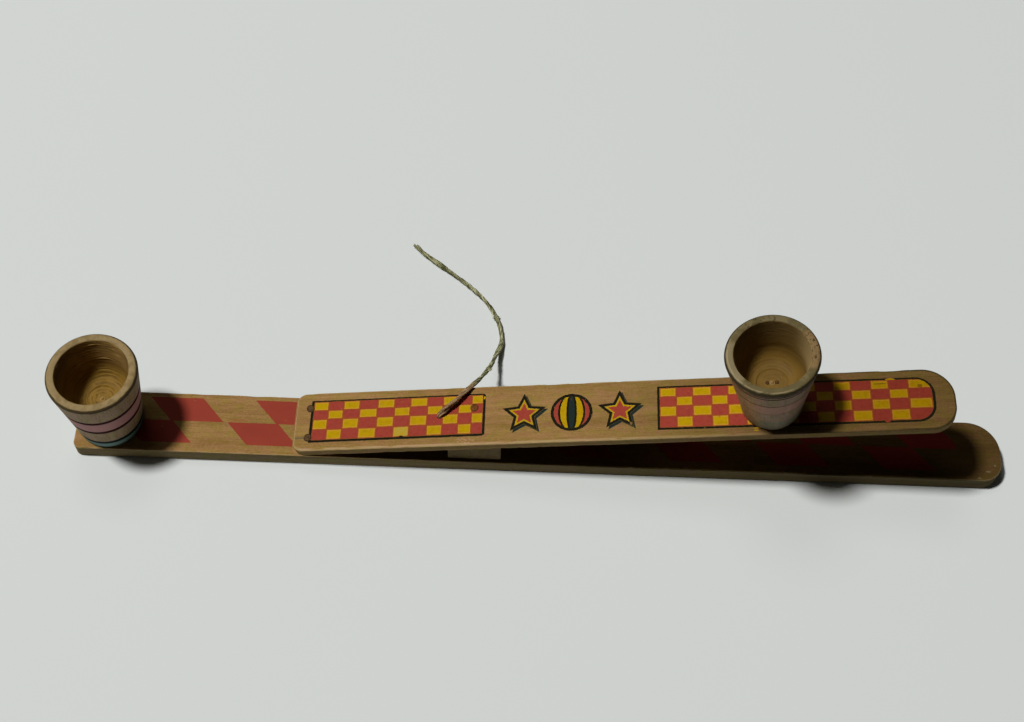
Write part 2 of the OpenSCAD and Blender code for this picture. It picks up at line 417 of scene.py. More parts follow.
def outline_depth(x, y, length, width, corner, back, front):
    """How far a point of the plan lies inside the board's outline."""
    half = width / 2
    right = np.where(y > 0, back, front)
    r = np.where(x < length / 2, corner, right)
    qx = np.abs(x - length / 2) - length / 2 + r
    qy = np.abs(y) - half + r
    out = np.hypot(np.maximum(qx, 0), np.maximum(qy, 0)) + np.minimum(np.maximum(qx, qy), 0) - r
    return -out


def board_mesh(name, plan, thick, rub, seed):
    """A board in its own frame, in millimetres, with unevenly rubbed edges."""
    front = edge_points(-1, plan["front"], **plan)
    back = edge_points(1, plan["back"], **plan)
    loop = np.vstack([front, back[::-1]])

    def rough(scale, shift):
        return np.array([noise.noise(Vector((x * scale, y * scale, shift))) for x, y in loop[:, :2]])

    wear = 0.45 + 1.1 * rough(0.09, seed) ** 2 * 4
    nicks = np.maximum(0, rough(0.35, seed + 9) - 0.42)
    edge = rub * np.clip(wear + 5 * nicks, 0.4, 2.2)
    points, faces = [], []

    def ring(inset, z):
        for (x, y, nx, ny), i, h in zip(loop, inset, z):
            points.append((x - nx * i, y - ny * i, h))

    ones = np.ones(len(loop))
    for inset in (FADE, FADE / 2):
        ring(inset * ones, 0 * ones)
    arc = np.radians([0, 30, 60, 90])
    for a in arc:
        ring(edge * (1 - np.sin(a)), edge * (1 - np.cos(a)))
    ring(0 * ones, thick / 2 * ones)
    for a in arc[::-1]:
        ring(edge * (1 - np.sin(a)), thick - edge * (1 - np.cos(a)))
    for inset in (FADE / 2, FADE):
        ring(inset * ones, thick * ones)
    n, count = len(loop), len(points) // len(loop)
    for k in range(count - 1):
        for i in range(n):
            j = (i + 1) % n
            faces.append((k * n + i, k * n + j, (k + 1) * n + j, (k + 1) * n + i))
    top, m = (count - 1) * n, len(front)
    for i in range(m - 1):
        far, far_next = n - 1 - i, n - 2 - i
        faces.append((top + i, top + i + 1, top + far_next, top + far))
        faces.append((far, far_next, i + 1, i))
    return new_mesh(name, points, faces=faces)


def link_object(name, mesh):
    made = bpy.data.objects.new(name, mesh)
    scene.collection.objects.link(made)
    return made


def evaluated(thing):
    """The finished mesh of an object with its modifiers, which are then removed."""
    bpy.context.view_layer.update()
    graph = bpy.context.evaluated_depsgraph_get()
    mesh = bpy.data.meshes.new_from_object(thing.evaluated_get(graph))
    thing.modifiers.clear()
    old, thing.data = thing.data, mesh
    bpy.data.meshes.remove(old)
    return thing


def drill(thing, holes):
    """Cuts straight round holes. Each hole is its middle, its radius and its two heights."""
    cutter = bmesh.new()
    for (x, y), radius, low, high in holes:
        where = Matrix.Translation((x, y, (low + high) / 2))
        bmesh.ops.create_cone(cutter, cap_ends=True, segments=40, radius1=radius, radius2=radius,
                              depth=high - low, matrix=where)
    mesh = bpy.data.meshes.new("drill")
    cutter.to_mesh(mesh)
    tool = link_object("drill", mesh)
    cut = thing.modifiers.new("holes", "BOOLEAN")
    cut.operation, cut.object, cut.solver = "DIFFERENCE", tool, "EXACT"
    evaluated(thing)
    bpy.data.objects.remove(tool)


def coordinates(mesh):
    flat = np.zeros(len(mesh.vertices) * 3, np.float32)
    mesh.vertices.foreach_get("co", flat)
    return flat.reshape(-1, 3).astype(float)


def store(mesh, name, values):
    """Keeps a number or a vector in every point of a mesh."""
    values = np.asarray(values, np.float32)
    kind, field = ("FLOAT_VECTOR", "vector") if values.ndim == 2 else ("FLOAT", "value")
    layer = mesh.attributes.get(name) or mesh.attributes.new(name, kind, "POINT")
    layer.data.foreach_set(field, values.ravel())


def new_mesh(name, points, edges=(), faces=(), **stored):
    """A mesh, with the named values that it keeps in its points."""
    mesh = bpy.data.meshes.new(name)
    mesh.from_pydata([Vector(p) for p in points], edges, faces)
    for label, values in stored.items():
        store(mesh, label, values)
    return mesh


def smooth(thing, angle=35):
    """Shades a piece smoothly, except across corners sharper than the angle."""
    thing.data.shade_smooth()
    thing.data.set_sharp_from_angle(angle=math.radians(angle))


def settle(thing, place, angle=35):
    """Moves a finished piece from its own frame into the toy, in metres, and shades it."""
    thing.data.transform(Matrix.Scale(MM, 4) @ place)
    smooth(thing, angle)
    return thing


def place_board(thing, plan, thick, place):
    """Notes each point's place on its own board, then moves the board into the toy."""
    at = coordinates(thing.data)
    depth = outline_depth(at[:, 0], at[:, 1], **plan)
    height = np.minimum(at[:, 2], thick - at[:, 2])
    store(thing.data, "board_mm", at)
    store(thing.data, "edge_mm", np.clip(np.maximum(depth, height), 0, FADE))
    thing.data.transform(Matrix.Scale(MM, 4) @ place)


print("board helpers are ready")

# %% [markdown]
# ### The base board
# A plain strip of wood, square at the end of the catch cup and round at the hand's end. Four nails
# were driven up through it, and their heads lie in shallow dents of its underside, which are drilled
# here.

# %% Base board mesh
CATCH_AT, BLOCK_AT, BLOCK_LENGTH, CUP_SIDE = 13.5, 153.0, 21.5, 0.5
NAIL_GAP, NAIL_RECESS, HEAD_R = 11.0, 0.15, 1.75
HEAD_TOP = 0.35
nailed = ((CATCH_AT, CUP_SIDE), (BLOCK_AT + BLOCK_LENGTH / 2, 0))
base_nails = [(x + s * NAIL_GAP / 2, y) for x, y in nailed for s in (-1, 1)]

base_board = link_object("worn_base_board", board_mesh("worn_base_board", BASE, BASE_THICK, 0.42, 3.0))
drill(base_board, [(at, HEAD_R + 0.02, -1, NAIL_RECESS + HEAD_TOP) for at in base_nails])
place_board(base_board, BASE, BASE_THICK, base_place)
smooth(base_board)
print("base board:", len(base_board.data.vertices), "points")

# %% [markdown]
# ### The lath
# In the CAD model the lath is two solids with a hinge, because a physics model needs a joint. The
# real one is a single springy strip. So one continuous board takes the place of both. Its underside
# is planed flat where it sits on the base.

# %% Lath mesh
HOLE_AT, HOLE_SIDE, HOLE_R = 60, 0.4, 1.15

lath = link_object("spring_lath", board_mesh("spring_lath", LATH, LATH_THICK, 0.36, 7.0))
drill(lath, [((HOLE_AT, HOLE_SIDE), HOLE_R, -1, LATH_THICK + 1)])
place_board(lath, LATH, LATH_THICK, lath_place)
work = bmesh.new()
work.from_mesh(lath.data)
cut = bmesh.ops.bisect_plane(
    work, geom=work.verts[:] + work.edges[:] + work.faces[:], clear_inner=True, dist=1e-7,
    plane_co=(0, 0, (BASE_THICK + 0.01) * MM), plane_no=(0, 0, 1))
rim = [e for e in cut["geom_cut"] if isinstance(e, bmesh.types.BMEdge)]
bmesh.ops.contextual_create(work, geom=rim)
work.to_mesh(lath.data)
work.free()
smooth(lath)
print("lath:", len(lath.data.vertices), "points")

# %% [markdown]
# ### The wedge block
# A scrap of pale wood, sawn to a wedge so that the lath lies flat on it. A small bevel and a little
# unevenness are all it needs, since saw marks and grain come from its material.

# %% Wedge block mesh
BLOCK_WIDTH = 24
slope = math.tan(math.radians(TILT))
low_h = (BASE_LEFT + BLOCK_AT - LATH_AT[0]) * slope - (BASE_THICK - LATH_AT[2])
high_h = low_h + BLOCK_LENGTH * slope
work = bmesh.new()
half = BLOCK_WIDTH / 2
corners = [work.verts.new((x, y, z)) for x, top in ((0, low_h), (BLOCK_LENGTH, high_h))
           for y in (-half, half) for z in (0, top)]
for face in ((0, 1, 3, 2), (4, 6, 7, 5), (0, 4, 5, 1), (2, 3, 7, 6), (0, 2, 6, 4), (1, 5, 7, 3)):
    work.faces.new([corners[i] for i in face])
bmesh.ops.bevel(work, geom=work.edges[:], offset=0.3, segments=2, affect="EDGES", profile=0.6)
long_edges = [e for e in work.edges if e.calc_length() > 3]
bmesh.ops.subdivide_edges(work, edges=long_edges, cuts=9, use_grid_fill=True)
bmesh.ops.recalc_face_normals(work, faces=work.faces[:])
for v in work.verts:
    v.co.y -= math.copysign(0.18, v.co.y) * (0.5 + noise.noise(v.co * 0.25)) * (abs(v.co.y) > 11)
mesh = bpy.data.meshes.new("sawn_wedge_block")
work.to_mesh(mesh)
work.free()
store(mesh, "board_mm", coordinates(mesh)[:, [1, 0, 2]])
wedge_block = link_object("sawn_wedge_block", mesh)
settle(wedge_block, Matrix.Translation((BASE_LEFT + BLOCK_AT, 0, BASE_THICK)))
print("wedge block rises from", round(low_h, 2), "to", round(high_h, 2), "mm")

# %% [markdown]
# ## Turning on a lathe
# Cups and nail heads are round: one outline turned about an axis. A geometry tree is a good lathe. It
# takes the outline as a chain of points, lays a grid with one column per outline point, and sends
# each grid point to its place on the turned surface. In the hollow, the gouge left a fine spiral, so
# the tree also pushes the surface in and out along its normal. Noise makes that spiral waver and
# fade in places, as torn grain does.

# %% Lathe tree
def geo(kind, values=None, out=0, **settings):
    """Adds a geometry node and returns one of its outputs."""
    return add("GeometryNode" + kind, values, out, **settings)


def named(name, kind="FLOAT"):
    """Reads what a mesh has stored in its points."""
    return geo("InputNamedAttribute", {"Name": name}, data_type=kind)


def noted(geometry, name, value, kind="FLOAT"):
    """Stores a value in the points of a geometry."""
    values = {"Geometry": geometry, "Name": name, "Value": value}
    return geo("StoreNamedAttribute", values, data_type=kind, domain="POINT")


def of_outline(value, kind="FLOAT"):
    """Reads a value from the outline point that belongs to this grid column."""
    values = {"Geometry": enter["Outline"], "Value": value, "Index": column}
    return geo("SampleIndex", values, data_type=kind)


LATHE, enter, leave = new_group(
    "lathe", "GeometryNodeTree",
    {"Outline": "Geometry", "Outline Points": 10, "Segments": 96, "Ring Pitch": 1.3, "Ring Depth": 0.06,
     "Out Of Round": 0.0, "Seed": 1.0, "Material": "Material"},
    {"Turned": "Geometry"},
)
columns = enter["Outline Points"]
size = {"Size X": 1.0, "Size Y": 1.0, "Vertices X": columns, "Vertices Y": enter["Segments"] + 1.0}
kept = geo("MeshGrid", size)
gx, gy, _ = xyz(geo("InputPosition"))
column = calc("ROUND", (gx + 0.5) * (columns - 1.0))
spin = (gy + 0.5) * math.tau
r0, _, z0 = xyz(of_outline(geo("InputPosition"), "FLOAT_VECTOR"))
nr, _, nz = xyz(of_outline(named("outward", "FLOAT_VECTOR"), "FLOAT_VECTOR"))
run = of_outline(named("run"))
hollow = of_outline(named("hollow"))
about = vector(calc("COSINE", spin), calc("SINE", spin), run * 0.45)
grain = {"Vector": about, "W": enter["Seed"], "Scale": 1.6, "Detail": 3.0}
torn = add("ShaderNodeTexNoise", grain, noise_dimensions="4D")
phase = torn * 13.0 + (run / enter["Ring Pitch"] * math.tau - spin)
strong = most(torn * 8.0 - 3.5, 0.1)
wave = calc("SINE", phase) * hollow * strong
ripple = wave * enter["Ring Depth"]
r1 = r0 + ripple * nr
lobe = calc("COSINE", spin * 2.0 + enter["Seed"])
r2 = r1 - r1 * enter["Out Of Round"] * (lobe + 1.0)
turned = vector(r2 * calc("COSINE", spin), r2 * calc("SINE", spin), z0 + ripple * nz)
kept = noted(kept, "turned_mm", turned, "FLOAT_VECTOR")
kept = noted(kept, "hollow", hollow)
kept = noted(kept, "wave", wave)
shaped = geo("SetPosition", {"Geometry": kept, "Position": turned})
welded = geo("MergeByDistance", {"Geometry": shaped, "Distance": 0.002})
real = geo("RealizeInstances", {"Geometry": welded})
leave["Turned"] = geo("SetMaterial", {"Geometry": real, "Material": enter["Material"]})
count_nodes("lathe")

# %% Running a tree
def run_tree(name, mesh, tree, values):
    """Runs a geometry tree on a mesh and keeps the plain result, with its faces turned outwards."""
    thing = link_object(name, mesh)
    modifier = thing.modifiers.new("tree", "NODES")
    modifier.node_group = tree
    for socket in tree.interface.items_tree:
        if socket.in_out == "INPUT" and socket.name in values:
            modifier[socket.identifier] = values[socket.name]
    evaluated(thing)
    work = bmesh.new()
    work.from_mesh(thing.data)
    bmesh.ops.recalc_face_normals(work, faces=work.faces[:])
    work.to_mesh(thing.data)
    work.free()
    return thing


def outline_mesh(name, outline):
    """A chain of points (radius, height, hollow) with its running length and outward directions."""
    rz = np.array([p[:2] for p in outline], float)
    ahead = np.vstack([rz[1:], rz[-1:]]) - np.vstack([rz[:1], rz[:-1]])
    out = np.stack([ahead[:, 1], 0 * ahead[:, 0], -ahead[:, 0]], 1)
    out /= np.maximum(np.linalg.norm(out, axis=1, keepdims=True), 1e-9)
    run = np.r_[0, np.cumsum(np.linalg.norm(np.diff(rz, axis=0), axis=1))]
    edges = [(i, i + 1) for i in range(len(rz) - 1)]
    hollow = [p[2] for p in outline]
    return new_mesh(name, [(r, 0, z) for r, z in rz], edges, run=run, outward=out, hollow=hollow)


print("trees can run")

# %% [markdown]
# ### The cups
# Both cups are turned to one pattern: a foot, a side that swells up to a rounded rim, V-shaped
# grooves that part the painted bands, and a bowl with a raised ring and a nib where the tool ran out.
# The launch cup is slimmer at the foot, and it has two extra fine lines below its rim.

# %% Cup outlines
CUP_H, RIM_R, MOUTH_R, DRAFT, DEPTH = 38.1, 18.3, 14.5, 1.8, 21.5
FOOT_ROUND, RIM_ROUND, MOUTH_BEVEL = 0.9, 1.6, 0.4
RING_R, RING_H, FLATNESS = 6.2, 0.5, 1.3
NIB_R, NIB_H = 0.8, 0.8
FLOOR_Z = CUP_H - DEPTH
CATCH = dict(foot=13.4, swell=1.05, grooves=[(5.2, 0.45), (16.1, 0.45), (25.5, 0.45)])
LAUNCH = dict(foot=12.0, swell=1.15, grooves=[(17.3, 0.1), (25.9, 0.16), (34.0, 0.35), (35.8, 0.35)])


def cup_outline(foot, swell, grooves):
    """Outline of a cup from the middle of its foot, up its side and down into its hollow."""
    high, lip = CUP_H - RIM_ROUND, CUP_H - MOUTH_BEVEL
    heights = set(np.linspace(FOOT_ROUND, high, 40))
    across = np.array([-1.25, -1, -0.9, -0.65, -0.35, 0, 0.35, 0.65, 0.9, 1, 1.25])
    for z, r in grooves:
        heights = {h for h in heights if abs(h - z) > r + 0.1} | set(z + r * across)
    points = [(0, 0, 0), (foot * 0.5, 0, 0), (foot - FOOT_ROUND / 2 - 0.15, 0, 0), (foot - 0.2, 0.25, 0)]
    for z in sorted(heights):
        dip = max([math.sqrt(max(r * r - (z - g) ** 2, 0)) for g, r in grooves])
        points.append((foot + (RIM_R - foot) * (z / CUP_H) ** swell - dip, z, 0))
    side = foot + (RIM_R - foot) * (high / CUP_H) ** swell
    points += [(side - RIM_ROUND * (1 - math.cos(a)), high + RIM_ROUND * math.sin(a), 0)
               for a in np.radians([20, 40, 60, 80])]
    points += [(r, CUP_H, 0) for r in (side - RIM_ROUND - 0.1, MOUTH_R + 1.4, MOUTH_R + MOUTH_BEVEL)]
    points += [(MOUTH_R + 0.15, CUP_H - 0.12, 0), (MOUTH_R, lip, 0.3)]
    bowl_r = MOUTH_R - DRAFT - RING_R
    bowl_z = FLOOR_Z + FLATNESS * bowl_r
    points += [(MOUTH_R - DRAFT * t, lip - (lip - bowl_z) * t, 1) for t in np.linspace(0, 1, 46)[1:]]
    points += [(RING_R + bowl_r * math.cos(a), bowl_z - (bowl_z - FLOOR_Z - RING_H) * math.sin(a), 1)
               for a in np.radians(np.linspace(5, 90, 30))]
    points += [(RING_R - 0.12, FLOOR_Z + RING_H * 0.8, 1), (RING_R - RING_H, FLOOR_Z, 1)]
    points += [(r, FLOOR_Z, 1) for r in np.linspace(RING_R - RING_H, NIB_R + 0.3, 24)[1:]]
    nib = ((1, 0.05, 0.5), (0.8, 0.3, 0.2), (0.5, 0.68, 0.2), (0.2, NIB_H - 0.02, 0.2), (0, NIB_H, 0.2))
    return points + [(NIB_R * r, FLOOR_Z + h, inside) for r, h, inside in nib]


def turn_cup(name, shape, place, depth, seed):
    outline = cup_outline(**shape)
    values = {"Outline Points": len(outline), "Segments": 144, "Ring Pitch": 1.45, "Ring Depth": depth,
              "Out Of Round": 0.0015, "Seed": seed}
    cup = settle(run_tree(name, outline_mesh(name, outline), LATHE, values), place, 40)
    print(name, len(cup.data.vertices), "points")
    return cup


# %% Turn both cups
LAUNCH_AT = 192.7
catch_place = Matrix.Translation((BASE_LEFT + CATCH_AT, CUP_SIDE, BASE_THICK))
launch_place = lath_place @ Matrix.Translation((LAUNCH_AT, CUP_SIDE, LATH_THICK))
catch_cup = turn_cup("turned_catch_cup", CATCH, catch_place, 0.1, 0.4)
launch_cup = turn_cup("turned_launch_cup", LAUNCH, launch_place, 0.03, 2.1)

# %% [markdown]
# ## Nails and brads
# Every nail is the same turned piece, so one is made and the rest are instances. The tree sets one
# nail on each point of a small mesh, points it along a stored direction, and turns it at random, as
# hammered nails are never square to the wood.

# %% Nail outline
NAIL_R, HEAD_EDGE = 0.8, 0.45


def nail_outline(length, shank, head):
    """A nail in its own frame: it points down, and its head ends just under HEAD_TOP."""
    low = HEAD_TOP - 0.15 - HEAD_EDGE
    crown = ((1, 0.19), (0.94, 0.13), (0.7, 0.08), (0.45, 0.05), (0.2, 0.03), (0, 0.03))
    return [(0, -length, 0), (shank * 0.3, -length + shank * 0.4, 0), (shank, -length + 2 * shank, 0),
            (shank, low, 0), (head * 0.96, low, 0), (head, low + 0.06, 0),
            *((head * part, HEAD_TOP - down, 0) for part, down in crown)]


# %% Driven nails tree
def turned_by(rotation, angles):
    """A rotation turned further by three angles, in its own frame."""
    values = {"Rotation": rotation, "Rotate By": add("FunctionNodeEulerToRotation", {"Euler": angles})}
    return add("FunctionNodeRotateRotation", values, rotation_space="LOCAL")


DRIVEN, enter, leave = new_group(
    "driven nails", "GeometryNodeTree",
    {"Places": "Geometry", "Nail": "Object", "Lean": 0.02, "Seed": 1, "Material": "Material"},
    {"Nails": "Geometry"},
)
lean = enter["Lean"]
master = geo("ObjectInfo", {"Object": enter["Nail"]}, out="Geometry")
upright = add("FunctionNodeAlignRotationToVector", {"Vector": named("drive", "FLOAT_VECTOR")}, axis="Z")
turns = {0: vector(lean * -1.0, lean * -1.0), 1: vector(lean, lean, math.tau), "Seed": enter["Seed"]}
jitter = add("FunctionNodeRandomValue", turns, data_type="FLOAT_VECTOR")
nails = geo("InstanceOnPoints", {
    "Points": enter["Places"], "Instance": master, "Rotation": turned_by(upright, jitter)})
real = geo("RealizeInstances", {"Geometry": nails})
leave["Nails"] = geo("SetMaterial", {"Geometry": real, "Material": enter["Material"]})
count_nodes("driven nails")


# %% Drive the nails
def drive_nails(name, nail, spots, up, place, lean, seed):
    """Sets a nail on each spot. A spot is where the surface would be level with the nail's zero."""
    mesh = new_mesh(name, spots, drive=[up] * len(spots))
    return settle(run_tree(name, mesh, DRIVEN, {"Nail": nail, "Lean": lean, "Seed": seed}), place, 50)


def forge(name, length, shank, head):
    outline = nail_outline(length, shank, head)
    values = {"Outline Points": len(outline), "Segments": 28, "Ring Depth": 0.0, "Out Of Round": 0.03,
              "Seed": 1.0}
    return run_tree(name, outline_mesh(name, outline), LATHE, values)


block_nail_at = (BASE_LEFT + BLOCK_AT + BLOCK_LENGTH / 2 - LATH_AT[0]) / math.cos(math.radians(TILT))
end_nails = [(5.8, y, LATH_THICK) for y in (6.2, -7.3)]
block_nail = [(block_nail_at, 3.7, LATH_THICK)]
under = [(x, y, NAIL_RECESS + HEAD_TOP) for x, y in base_nails]
brads = [(LAUNCH_AT + s * 1.8, CUP_SIDE, LATH_THICK + FLOOR_Z) for s in (-1, 1)]
UP, DOWN, BRAD_R, BRAD_HEAD_R = (0, 0, 1), (0, 0, -1), 0.5, 0.78
TOP_HEAD_R, UNDER_HEAD_R = HEAD_R - 0.03, HEAD_R - 0.05
nail_sets = {}
for name, spots, up, place, length, shank, head, lean, seed in (
    ("lath_end_nails", end_nails, UP, lath_place, 8.4, NAIL_R, TOP_HEAD_R, 0.02, 4),
    ("lath_block_nail", block_nail, UP, lath_place, 11.4, NAIL_R, TOP_HEAD_R, 0.02, 5),
    ("block_base_nails", under[2:], DOWN, base_place, 13.5, NAIL_R, UNDER_HEAD_R, 0.0, 6),
    ("catch_cup_nails", under[:2], DOWN, base_place, 13.5, NAIL_R, UNDER_HEAD_R, 0.0, 7),
    ("launch_cup_brads", brads, UP, lath_place, 19.3, BRAD_R, BRAD_HEAD_R, 0.01, 8),
):
    master_nail = forge("master_nail", length, shank, head)
    nail_sets[name] = drive_nails("rusty_" + name, master_nail, spots, up, place, lean, seed)
    bpy.data.objects.remove(master_nail)
    print(name, len(spots), "nails,", len(nail_sets[name].data.vertices), "points")

# %% [markdown]
# ## The string
# A two-ply jute string is knotted under the lath, comes up through the hole, arches over the back
# edge and lies on the table in a loose bend. Each ply is a tube that winds round the string's middle
# line, so the tree makes two copies of the line, pushes each out to its own side, and turns the side
# as it goes along. The plies part a little where the string was bent over the edge.

# %% String route, the same points as in the CAD model
ROUTE = [
    (-40.0, 0.5, 13.0), (-40.5, 0.5, 16.0), (-41.0, 0.5, 19.0), (-40.0, 1.0, 21.0), (-38.0, 2.5, 22.0),
    (-36.0, 4.5, 22.5), (-33.5, 7.0, 23.0), (-31.0, 10.0, 23.0), (-28.5, 13.0, 22.5), (-26.5, 16.0, 21.0),
    (-25.0, 19.5, 18.0), (-23.5, 23.5, 15.0), (-22.0, 28.0, 11.5), (-20.5, 33.0, 8.0), (-19.5, 38.0, 5.0),
    (-18.0, 43.0, 2.5), (-17.0, 47.5, 1.1), (-17.5, 52.0, 1.1), (-18.5, 56.5, 1.1), (-20.5, 61.0, 1.1),
    (-23.0, 65.5, 1.1), (-26.5, 70.0, 1.1), (-30.5, 74.0, 1.1), (-35.0, 78.0, 1.1), (-39.5, 81.5, 1.1),
    (-44.0, 85.0, 1.1), (-48.5, 88.5, 1.1), (-53.0, 92.0, 1.1), (-56.5, 95.5, 1.1),
]


def through(points, parts):
    """A smooth line through the points, with a few steps between each two."""
    p = [Vector(q) for q in points]
    p = [p[0] * 2 - p[1]] + p + [p[-1] * 2 - p[-2]]
    line = []
    for a, b, c, d in zip(p, p[1:], p[2:], p[3:]):
        for k in range(parts):
            t = k / parts
            square, cube = 2 * a - 5 * b + 4 * c - d, 3 * b - a - 3 * c + d
            line.append(0.5 * (2 * b + (c - a) * t + square * t * t + cube * t ** 3))
    return line + [p[-2]]


string_line = through(ROUTE, 6)
string_length = sum((b - a).length for a, b in zip(string_line, string_line[1:]))
print("string length:", round(string_length, 1), "mm")

# %% Twisted plies tree
PLIES, enter, leave = new_group(
    "twisted plies", "GeometryNodeTree",
    {"Lines": "Geometry", "Plies": 2, "Ply Radius": 0.52, "Ply Offset": 0.45, "Lay": 7.5, "Step": 0.35,
     "Hairs": 260, "Hair Length": 1.1, "Hair Radius": 0.035, "Seed": 3, "Material": "Material"},
    {"String": "Geometry"},
)
RING_POINTS = 10


def scaled(direction, factor):
    return add("ShaderNodeVectorMath", {0: direction, "Scale": factor}, operation="SCALE")


def tube(line, ring, girth):
    return geo("CurveToMesh", {"Curve": line, "Profile Curve": ring, "Scale": girth, "Fill Caps": True})


def ring(points, radius):
    return geo("CurvePrimitiveCircle", {"Resolution": points, "Radius": radius}, mode="RADIUS")


lines = geo("MeshToCurve", {"Mesh": enter["Lines"]})
fine = geo("ResampleCurve", {"Curve": lines, "Length": enter["Step"]}, mode="LENGTH")
copies = node(
    "GeometryNodeDuplicateElements", {"Geometry": fine, "Amount": enter["Plies"]}, domain="SPLINE")
length = geo("SplineParameter", out="Length")
share = copies["Duplicate Index"] / enter["Plies"]
turn = (length / enter["Lay"] + share) * math.tau
normal = geo("InputNormal")
across = move("CROSS_PRODUCT", geo("InputTangent"), normal)
sideways = move("ADD", scaled(normal, calc("COSINE", turn)), scaled(across, calc("SINE", turn)))
place = scaled(sideways, enter["Ply Offset"] * named("spread"))
wound = geo("SetPosition", {"Geometry": noted(copies["Geometry"], "along_mm", length), "Offset": place})
around = geo("InputIndex") / float(RING_POINTS)
circle = noted(ring(RING_POINTS, 1.0), "around", around)
lumps = {"Vector": geo("InputPosition"), "Scale": 0.45, "Detail": 2.0}
uneven = add("ShaderNodeTexNoise", lumps, noise_dimensions="3D")
tubes = tube(wound, circle, enter["Ply Radius"] * named("girth") * (uneven + 0.5))

bow = {"Resolution": 5, "Start": (0, 0, 0), "Middle": (0.0, 0.12, 0.5), "End": (0.0, 0.5, 0.9)}
hair_ring = ring(3, enter["Hair Radius"] / enter["Hair Length"])
hair = tube(geo("CurveQuadraticBezier", bow), hair_ring, 1.05 - geo("SplineParameter", out="Factor"))
roots = node("GeometryNodeCurveToPoints", {"Curve": wound, "Count": enter["Hairs"]}, mode="COUNT")
turns = {0: (-0.9, -0.9, 0.0), 1: (0.9, 0.9, math.tau), "Seed": enter["Seed"]}
hair_turn = turned_by(roots["Rotation"], add("FunctionNodeRandomValue", turns, data_type="FLOAT_VECTOR"))
sizes = {2: 0.25, 3: 1.0, "Seed": enter["Seed"] + 1.0}
hair_size = add("FunctionNodeRandomValue", sizes, out=1, data_type="FLOAT") * enter["Hair Length"]
hairs = geo("InstanceOnPoints", {
    "Points": roots["Points"], "Instance": hair, "Rotation": hair_turn, "Scale": hair_size})
hairs = geo("RealizeInstances", {"Geometry": hairs})
joined = here.nodes.new("GeometryNodeJoinGeometry")
for part in (tubes, hairs):
    Sockets(joined.inputs)[0] = part
leave["String"] = geo("SetMaterial", {"Geometry": Wire(joined.outputs[0]), "Material": enter["Material"]})
count_nodes("twisted plies")


# %% Lines for the string
def lines_mesh(name, lines):
    """Chains of points. A line is its points, how thick it is and how far apart its plies lie."""
    points, edges, girth, spread = [], [], [], []
    for line, thick, apart in lines:
        first = len(points)
        points += line
        edges += [(i, i + 1) for i in range(first, len(points) - 1)]
        girth += list(np.interp(np.linspace(0, 1, len(line)), *thick))
        spread += list(np.interp(np.linspace(0, 1, len(line)), *apart))
    return new_mesh(name, points, edges, girth=girth, spread=spread)


def loose_end(start, towards, bend, length):
    """A short line that leaves a point and curls aside, for a frayed strand."""
    heading, side = Vector(towards).normalized(), Vector(bend)
    return [Vector(start) + heading * length * t + side * length * t * t for t in (0, 0.25, 0.5, 0.75, 1)]


end, before = string_line[-1], string_line[-8]
out = (end - before).normalized()
thickness = ([0, 0.045, 0.08, 0.12, 0.17, 0.24, 0.5, 0.55, 0.62, 0.86, 0.9, 0.96, 1],
             [0.62, 0.62, 0.72, 0.84, 0.9, 0.84, 0.84, 0.96, 0.84, 0.86, 1.0, 1.02, 0.9])
parting = ([0, 0.06, 0.09, 0.13, 0.18, 0.24, 0.5, 0.55, 0.64, 0.95, 1],
           [0.8, 0.8, 1.6, 2.6, 2.0, 1.2, 1.0, 1.4, 1.0, 1.0, 2.4])
strands = [(string_line, thickness, parting)]
frays = ((0.35, 0.2, 2.4), (-0.3, 0.35, 2.9), (0.1, -0.45, 2.2), (0.5, -0.1, 1.9), (-0.45, -0.05, 2.6),
         (0.2, 0.5, 2.1), (-0.1, -0.3, 3.0))
for k, (sx, sy, size) in enumerate(frays):
    start = end - out * 1.2 + Vector((0.25 * math.cos(k * 2.4), 0.25 * math.sin(k * 2.4), 0.0))
    lift = 0.12 * (k % 3) + 0.05
    towards, bend = (out.x + sx * 0.5, out.y + sy * 0.5, 0.02), (sx * 0.2, sy * 0.2, lift * 0.2)
    strands.append((loose_end(start, towards, bend, size), ([0, 1], [0.36, 0.12]), ([0, 1], [0.2, 0.35])))
for number, towards, bend, size in ((69, (1.0, 0.25, 0.2), (0.0, 0.1, 0.05), 2.3),
                                    (114, (0.9, -0.3, 0.1), (0, -0.2, 0.1), 1.9),
                                    (112, (-0.9, -0.2, 0.1), (0.1, 0.2, 0.1), 1.8)):
    loose = loose_end(string_line[number], towards, bend, size)
    strands.append((loose, ([0, 1], [0.5, 0.22]), ([0, 1], [0.5, 0.5])))


def twist(name, lines, values):
    return settle(run_tree(name, lines_mesh(name, lines), PLIES, values), Matrix.Identity(4), 60)


string = twist("jute_string", strands, {"Hairs": 10, "Ply Radius": 0.85, "Ply Offset": 0.26, "Lay": 40.0})

knot_line = []
for t in np.linspace(0, math.tau, 60):
    x, y = math.sin(t) + 2 * math.sin(2 * t), math.cos(t) - 2 * math.cos(2 * t)
    knot_line.append(Vector(ROUTE[0]) + 0.5 * Vector((x, y, -math.sin(3 * t))))
knot = twist("jute_knot", [(knot_line, ([0, 1], [0.8, 0.8]), ([0, 1], [0.7, 0.7]))],
             {"Hairs": 12, "Ply Radius": 0.5, "Ply Offset": 0.4, "Hair Length": 0.5})
print("string:", len(string.data.vertices), "points, knot:", len(knot.data.vertices), "points")

# %% [markdown]
# ## Finishes
# Each material reads the place that its piece stored: `board_mm` on the boards and the block,
# `turned_mm` on the cups, `along_mm` and `around` on the string. Such a place travels with the
# surface, so the print doesn't slide when the lath bends.

